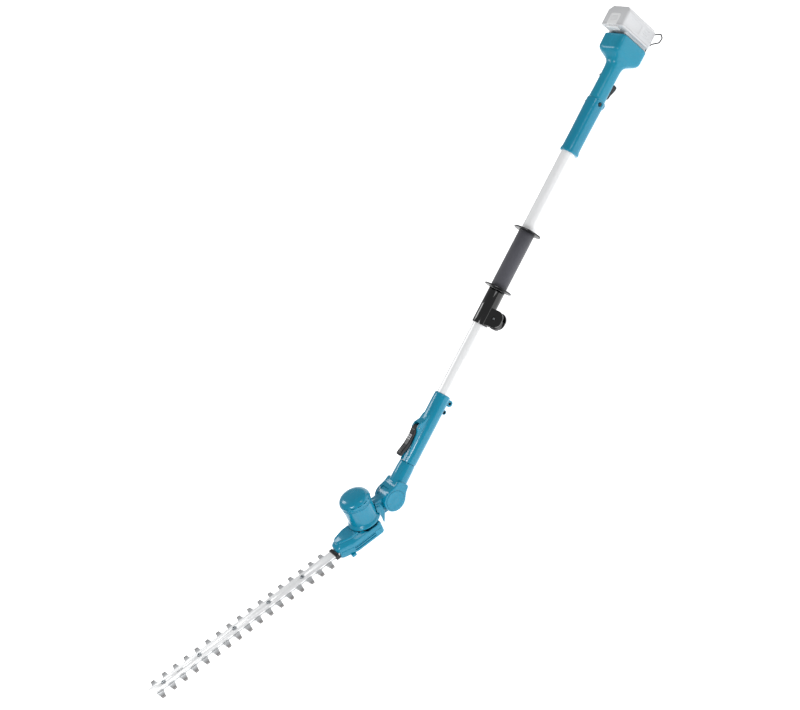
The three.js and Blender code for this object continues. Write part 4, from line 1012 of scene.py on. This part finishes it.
for side, name in ((-1, "left"), (1, "right")):
    face = spun([(side * y, radius) for y, radius in (
        (22.1, 0), (22.1, 24.6), (22.5, 25), (25.0, 25), (25.8, 24.5), (26.1, 23.6),
        (26.2, 21.0), (26.0, 20.4), (25.9, 7.0), (26.1, 5.8), (26.3, 5.0), (26.4, 0),
    )], "y", 96, (px, 0, 0))
    cover = shaped(f"pivot_disc_{name}", face)
    fitted(cover, pole, "inner_pole", teal_nylon, [f"pivot_cover_{name}"])


# ---- head neck ----
# The head's own die casting: a tongue between the fork's cheeks, which swells to a round collar that
# the gear housing is screwed to.

head = Matrix.Translation(pivot) @ Matrix.Rotation(math.radians(33), 4, "Y") @ Matrix.Scale(0.001, 4)
motor_at = (-84, 0, 0)
tongue = spun([(-13.5, 0), (-13.5, 28), (-12.5, 29), (12.5, 29), (13.5, 28), (13.5, 0)], "y", 96)
bridge = slab(rounded([(-8, 20, 3), (-8, -22, 3), (-49, -20, 2), (-49, 22, 2)]), -13.5, 13.5, "xz", 1.0)
collar = spun([
    (-57.7, 0), (-57.7, 23.2), (-57.0, 24.2), (-55.5, 24.5), (-50, 24.5), (-47.5, 23.6), (-45.5, 22.2),
    (-36.5, 21.8), (-34.5, 20.8), (-32.5, 18.6), (-32.5, 0),
])
bore = spun([(-60, 0), (-60, 6.3), (60, 6.3), (60, 0)], "y", 48)
drum_room = [
    spun([(-99, 0), (-99, 41.4), (1.0, 41.4), (1.0, 0)], "z", 96, motor_at),
    spun([(0, 0), (0, 38.4), (99, 38.4), (99, 0)], "z", 96, motor_at),
]
heel_outline = rounded([(-58, -40, 2), (-58, 14, 2), (-42, 14, 8), (-35, -12, 9), (-46, -35, 9)])
heel = slab(heel_outline, -22, 22, "xz", 2.5)
neck = shaped("head_neck_casting", tongue, added=[bridge, collar, heel], cut=[bore, *drum_room],
              soften=0.3, limit=50)
fitted(neck, head, "head", teal_nylon, ["head_neck"])


# ---- gear housing and blade root guard ----
# Two aluminium castings in teal, closed round the gears and the blades' yokes. The lower one has two
# long cooling slots in each flank, and a black guard closes the front where the bar comes out.

def plan(inset):
    """The housing seen from above, drawn in by an inset."""
    half, nose = 32 - inset, 16 - inset * 0.5
    return rounded([
        (-58 - inset, -half, 8), (-58 - inset, half, 8), (-140, half, 30), (-184 + inset, nose, 14),
        (-184 + inset, -nose, 14), (-140, -half, 30),
    ], 8)


def risen(rows):
    return lofted([(height, plan(inset)) for height, inset in rows], upright)


bar_way = brick(-204, -154, -15.2, 15.2, -45.8, -33.1)
upper_shell = risen([
    (-33.35, 0.6), (-32.9, 0.1), (-31, 0), (-24, 0), (-21.5, 0.6), (-18.5, 3.0), (-15.5, 6.4),
    (-14.2, 7.3), (-13.6, 8.2),
])
ledge = risen([(-16, 8.6), (-11.5, 8.6), (-9.6, 9.2), (-8.5, 10.6)])
drum_way = spun([(-30, 0), (-30, 42), (9, 42), (9, 0)], "z", 96, motor_at)
ledge_part = shaped("ledge_part", ledge, cut=[drum_way])
upper_room = risen([(-40, 4), (-17.4, 4.6), (-17.0, 6)])
motor_hole = spun([(-22, 0), (-22, 34), (9, 34), (9, 0)], "z", 96, motor_at)
upper = shaped("gear_housing_top", upper_shell, added=[taken(ledge_part)],
               cut=[upper_room, motor_hole, bar_way.copy()], soften=0.2, limit=55)
fitted(upper, head, "head", teal_nylon, ["gear_housing_upper"])

lower_shell = risen([
    (-52, 3.4), (-51.3, 1.8), (-49.8, 0.6), (-47.5, 0), (-34.6, 0), (-34.1, 0.1), (-33.65, 0.6),
])
lower_room = risen([(-49, 5), (-48.6, 4), (-30, 4)])
flank_slots = [
    brick(-145, -83, min(side * 28.2, side * 99), max(side * 28.2, side * 99), n - 1.6, n + 1.6)
    for side in (-1, 1) for n in (-37.1, -43.1)
]
foot_outline = rounded([(-160, -57, 1.5), (-148, -57, 1.5), (-148, -50, 0), (-160, -50, 0)])
foot = slab(foot_outline, -31, -23, "xz", 0.6)
lower = shaped("gear_housing_bottom", lower_shell, added=[foot], cut=[lower_room, bar_way, *flank_slots],
               soften=0.2, limit=55)
fitted(lower, head, "head", teal_nylon, ["gear_housing_lower"])

guard = slab(rounded([(-18, -46, 3), (18, -46, 3), (17, -31.4, 3), (-17, -31.4, 3)]), -194, -184.3, "yz", 1.0)
guard_way = brick(-205, -180, -15, 15, -43.8, -33.2)
guard = shaped("blade_root_moulding", guard, cut=[guard_way], soften=0.3, limit=50)
fitted(guard, head, "head", black_nylon, ["blade_root_guard"])


# ---- motor housing and cap ----
# A round teal drum for the motor, flared where it stands on the gear housing, with fine ridges under
# a domed cap that has cooling slots round its rim.

drum = spun([
    (-7.7, 34.6), (-7.7, 40.4), (-7.2, 41.0), (-3.4, 40.6), (-0.8, 38.6), (0.6, 36.9), (3.0, 36.2),
    (20, 36.6), (44, 37.6), (45.6, 37.9), (46.2, 37.2), (47.2, 37.2), (47.8, 37.9), (48.8, 37.9),
    (49.4, 37.2), (50.4, 37.2), (51.0, 37.9), (53.4, 38.0), (54.0, 37.6), (54.0, 35.0), (30, 35.0), (2, 34.6),
], "z", 128, motor_at)
drum = shaped("motor_drum", drum)
fitted(drum, head, "head", teal_nylon, ["motor_housing"])

around = Pattern("pieces_around_an_axis", Count="Int", Radius="Float")
circle = around.add("GeometryNodeMeshCircle", None,
                    {"Vertices": around.given("Count"), "Radius": around.given("Radius")})
angle = around.add("GeometryNodeInputIndex") * (2 * math.pi) / around.given("Count")
around.repeat(circle, around.add("ShaderNodeCombineXYZ", None, {"Z": angle}))

cap = spun([
    (54.3, 30.2), (54.3, 38.4), (54.9, 39.1), (56.4, 39.5), (59.0, 39.4), (62.0, 38.4), (65.2, 36.6),
    (68.6, 33.4), (71.4, 28.4), (73.0, 22.0), (73.9, 13.0), (74.3, 0), (70.3, 0), (68.0, 18.0), (62.3, 28.0),
], "z", 128, motor_at)
cap_slot = as_object("cap_slot", brick(-3.5, 3.5, -5.6, 5.6, -0.9, 0.9))
cap_slots = patterned("cap_slots", around, Piece=cap_slot, Count=14, Radius=39, Finish=teal_nylon)
cap_slots = moved(taken(cap_slots), Matrix.Translation((-84, 0, 59.6)))
cap = shaped("motor_cap_dome", cap, cut=[cap_slots], soften=0.15, limit=55)
fitted(cap, head, "head", teal_nylon, ["motor_cap"])


# ---- cutting bar ----
# A ground aluminium bar with two reciprocating steel blades under it. Each blade is one stamping with
# 17 two-sided teeth, ground along their edges, and bolts through their stroke slots hold them.

def ground_steel(name, code):
    """Ground blade steel: fine grinding lines across the bar, and painted shade, darker and browner, towards
    the tooth tips.
    """
    graph = new_finish(name, Metallic=0.55, Specular_IOR_Level=0.4)
    lines = graph.grain(1700, 3.0, (1, 0.03, 1), (0, math.radians(33), 0))
    stain = graph.band(graph.grain(48, 5.0), 0.46, 0.70)
    place = graph.add("ShaderNodeTexCoord", out="Object")
    across = graph.add("ShaderNodeSeparateXYZ", None, {"Vector": place}, out="Y")
    across = graph.add("ShaderNodeMath", {"operation": "ABSOLUTE"}, {0: across})
    # Darkens and browns the tooth tips: painted shade of the tips, with the brownish tone of the tooth edges.
    painted_shade_tips = graph.band(across, 0.024, 0.036)
    colour = graph.tint(lines * 0.5, paint(code, 1.08), paint(code, 0.78))
    colour = graph.tint(painted_shade_tips * 0.5 + stain * 0.12, colour, paint("5c4c44"))
    feed(graph, Base_Color=colour)
    feed(graph, Roughness=lines * 0.12 + stain * 0.14 + painted_shade_tips * 0.08 + 0.26)
    bumped(graph, lines, 0.00002)
    return graph.material


blade_steel = ground_steel("blade_steel", "c6c8ca")
bar_metal = drawn_metal("bar_metal", "f4f5f6", 0.30, 0.2, (0.02, 1, 1), (0, math.radians(33), 0))
tooth_pitch = 30
first_tooth = 216
tooth_count = 17
blade_tip = first_tooth + tooth_pitch * (tooth_count - 1) + 9
first_bolt = 285
bolt_step = 98.4
bolt_count = 5
bolt_places = [first_bolt + bolt_step * i for i in range(bolt_count)]


def tooth_outline(inset):
    reach_out = 35 - inset
    tip_half, root_half, root_at = 4.4 - inset * 0.7, 8.5 - inset, 11
    return [(-tip_half, -reach_out), (tip_half, -reach_out), (root_half, -root_at), (root_half, root_at),
            (tip_half, reach_out), (-tip_half, reach_out), (-root_half, root_at), (-root_half, -root_at)]


def stroke_slot(x, top):
    return slab(plate(-x - 11.3, -x + 11.3, -3.4, 3.4, 3.3), top - 5, top + 2, "xy")


for name, top in (("upper", -37.7), ("lower", -40.4)):
    bottom = top - 2.4
    tooth = as_object("tooth", lofted([(bottom, tooth_outline(0)), (top - 1.0, tooth_outline(0)),
                                       (top, tooth_outline(1.3))], upright))
    teeth = patterned(f"{name}_teeth", row, Piece=tooth, Count=tooth_count, First=(-first_tooth, 0, 0),
                      Step=(-tooth_pitch, 0, 0), Turn=(0, 0, 0), Finish=blade_steel)
    spine = slab([(-147, -11.5), (-blade_tip, -11.5), (-blade_tip, 11.5), (-147, 11.5)], bottom, top, "xy")
    stamping = shaped(f"{name}_stamping", spine, added=[taken(teeth)],
                      cut=[stroke_slot(x, top) for x in bolt_places])
    fitted(stamping, head, f"{name}_blade", blade_steel, [f"{name}_blade"])

bar_end = blade_tip + 13.5
bar_outline = rounded([(-146, -14, 1), (-bar_end, -14, 9), (-bar_end, 14, 9), (-146, 14, 1)], 8)
bar = slab(bar_outline, -37.4, -34, "xy", 0.5)
bar_slot = slab(plate(-bar_end + 76, -bar_end + 93, -2.4, 2.4, 2.3), -40, -30, "xy")
bar_holes = [spun([(-45, 0), (-45, 3.3), (-30, 3.3), (-30, 0)], "z", 32, (-x, 0, 0)) for x in bolt_places]
bar = shaped("guide_bar_ground", bar, cut=[bar_slot, *bar_holes], soften=0.1, limit=55)
fitted(bar, head, "head", bar_metal, ["guide_bar"])

bolt_body = spun([
    (-45.8, 0), (-45.8, 2.6), (-45.4, 3.0), (-33.7, 3.0), (-33.7, 5.2), (-33.4, 5.4), (-32.2, 5.4),
    (-31.4, 4.8), (-31.0, 3.6), (-31.0, 0),
], "z", 48)
socket, nut = [
    [(size * math.cos(math.pi * i / 3), size * math.sin(math.pi * i / 3)) for i in range(6)]
    for size in (2.6, 5)
]
bolt = shaped("bar_bolt", bolt_body, added=[slab(nut, -47.1, -43.2, "xy", 0.4)],
              cut=[slab(socket, -32.6, -30, "xy")], soften=0.1, limit=50)
bolts = patterned("bar_bolts", row, Piece=bolt, Count=bolt_count, First=(-first_bolt, 0, 0),
                  Step=(-bolt_step, 0, 0), Turn=(0, 0, math.pi / 3), Finish=plain_steel)
fitted(bolts, head, "head", plain_steel, [f"bar_bolt_{i + 1}" for i in range(bolt_count)])


# ---- inside the tool ----
# The pieces that the shells hide: cells and circuit board, switch, terminals and lead, the bolts, and
# the motor with its gear train. They keep the model's own shapes and get their real finishes.

cell_sleeve = moulded("cell_sleeve", "339eb2", 0.38, coat=0.2, grain=500)
winding_copper = drawn_metal("winding_copper", "a8633a", 0.36, 0.8, (1, 1, 0.05))
potted_board = moulded("potted_board", "1f593b", 0.45, grain=420, depth=0.00006, mottle=0.2)
cast_zinc = drawn_metal("cast_zinc", "8c8f92", 0.46, 0.9, (1, 1, 1))
inside = {
    cell_sleeve: ("battery_cells",),
    winding_copper: ("motor_stator",),
    potted_board: ("controller_board",),
    cast_zinc: ("motor_bearing_plate", "motor_rotor", "crank_gear"),
    plain_steel: ("pivot_bolt", "lock_bolt"),
    black_steel: ("crank_pin",),
    black_nylon: ("switch_unit", "terminal_block", "inner_tube_guide", "coiled_lead"),
}
for finish, names in inside.items():
    for name in names:
        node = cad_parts[name]
        node.data.materials.clear()
        node.data.materials.append(finish)


# ---- floor, light and camera ----
# A pale sweep under soft studio light: a large box light from the upper left, a weaker one from the
# right and a bright surround, as for a catalogue picture.

floor_mesh = bmesh.new()
bmesh.ops.create_grid(floor_mesh, x_segments=1, y_segments=1, size=40)
floor = as_object("studio_floor", floor_mesh)
white = (1, 1, 1, 1)
floor_paper = new_finish("floor_paper", Specular_IOR_Level=0.2, Emission_Color=white, Emission_Strength=0.85)
floor_tone = floor_paper.grain(2.5, 3.0)
feed(floor_paper, Base_Color=floor_paper.tint(floor_tone, paint("f6f7f8"), paint("ffffff")))
feed(floor_paper, Roughness=floor_tone * 0.1 + 0.7)
floor.data.materials.append(floor_paper.material)

world = bpy.data.worlds.new("studio")
world.use_nodes = True
world.node_tree.nodes["Background"].inputs["Color"].default_value = white
world.node_tree.nodes["Background"].inputs["Strength"].default_value = 0.35
scene.world = world

aim = Vector((-0.85, 0, 0.1))
for name, place, size, power in (("key", (-2.6, -1.6, 2.8), 1.1, 52), ("fill", (0.9, -1.9, 1.6), 1.0, 9),
                                 ("back", (-0.9, 2.2, 2.2), 1.0, 20)):
    lamp = bpy.data.lights.new(name, "AREA")
    lamp.shape = "SQUARE"
    lamp.size = size
    lamp.energy = power
    light = bpy.data.objects.new(name, lamp)
    light.location = place
    light.rotation_euler = (aim - Vector(place)).to_track_quat("-Z", "Y").to_euler()
    scene.collection.objects.link(light)

lens = bpy.data.cameras.new("camera")
lens.lens = 54.156
lens.sensor_width = 36
lens.clip_start = 0.05
camera = bpy.data.objects.new("camera", lens)
stand = Matrix.Translation((-0.93876, -2.25204, 1.94094))
up = Vector((0.887425, 0.273502, 0.371043))
back = Vector((-0.008843, -0.794702, 0.606936))
camera.matrix_world = stand @ Matrix((up.cross(back), up, back)).transposed().to_4x4()
scene.collection.objects.link(camera)
scene.camera = camera
scene.view_settings.view_transform = "Standard"
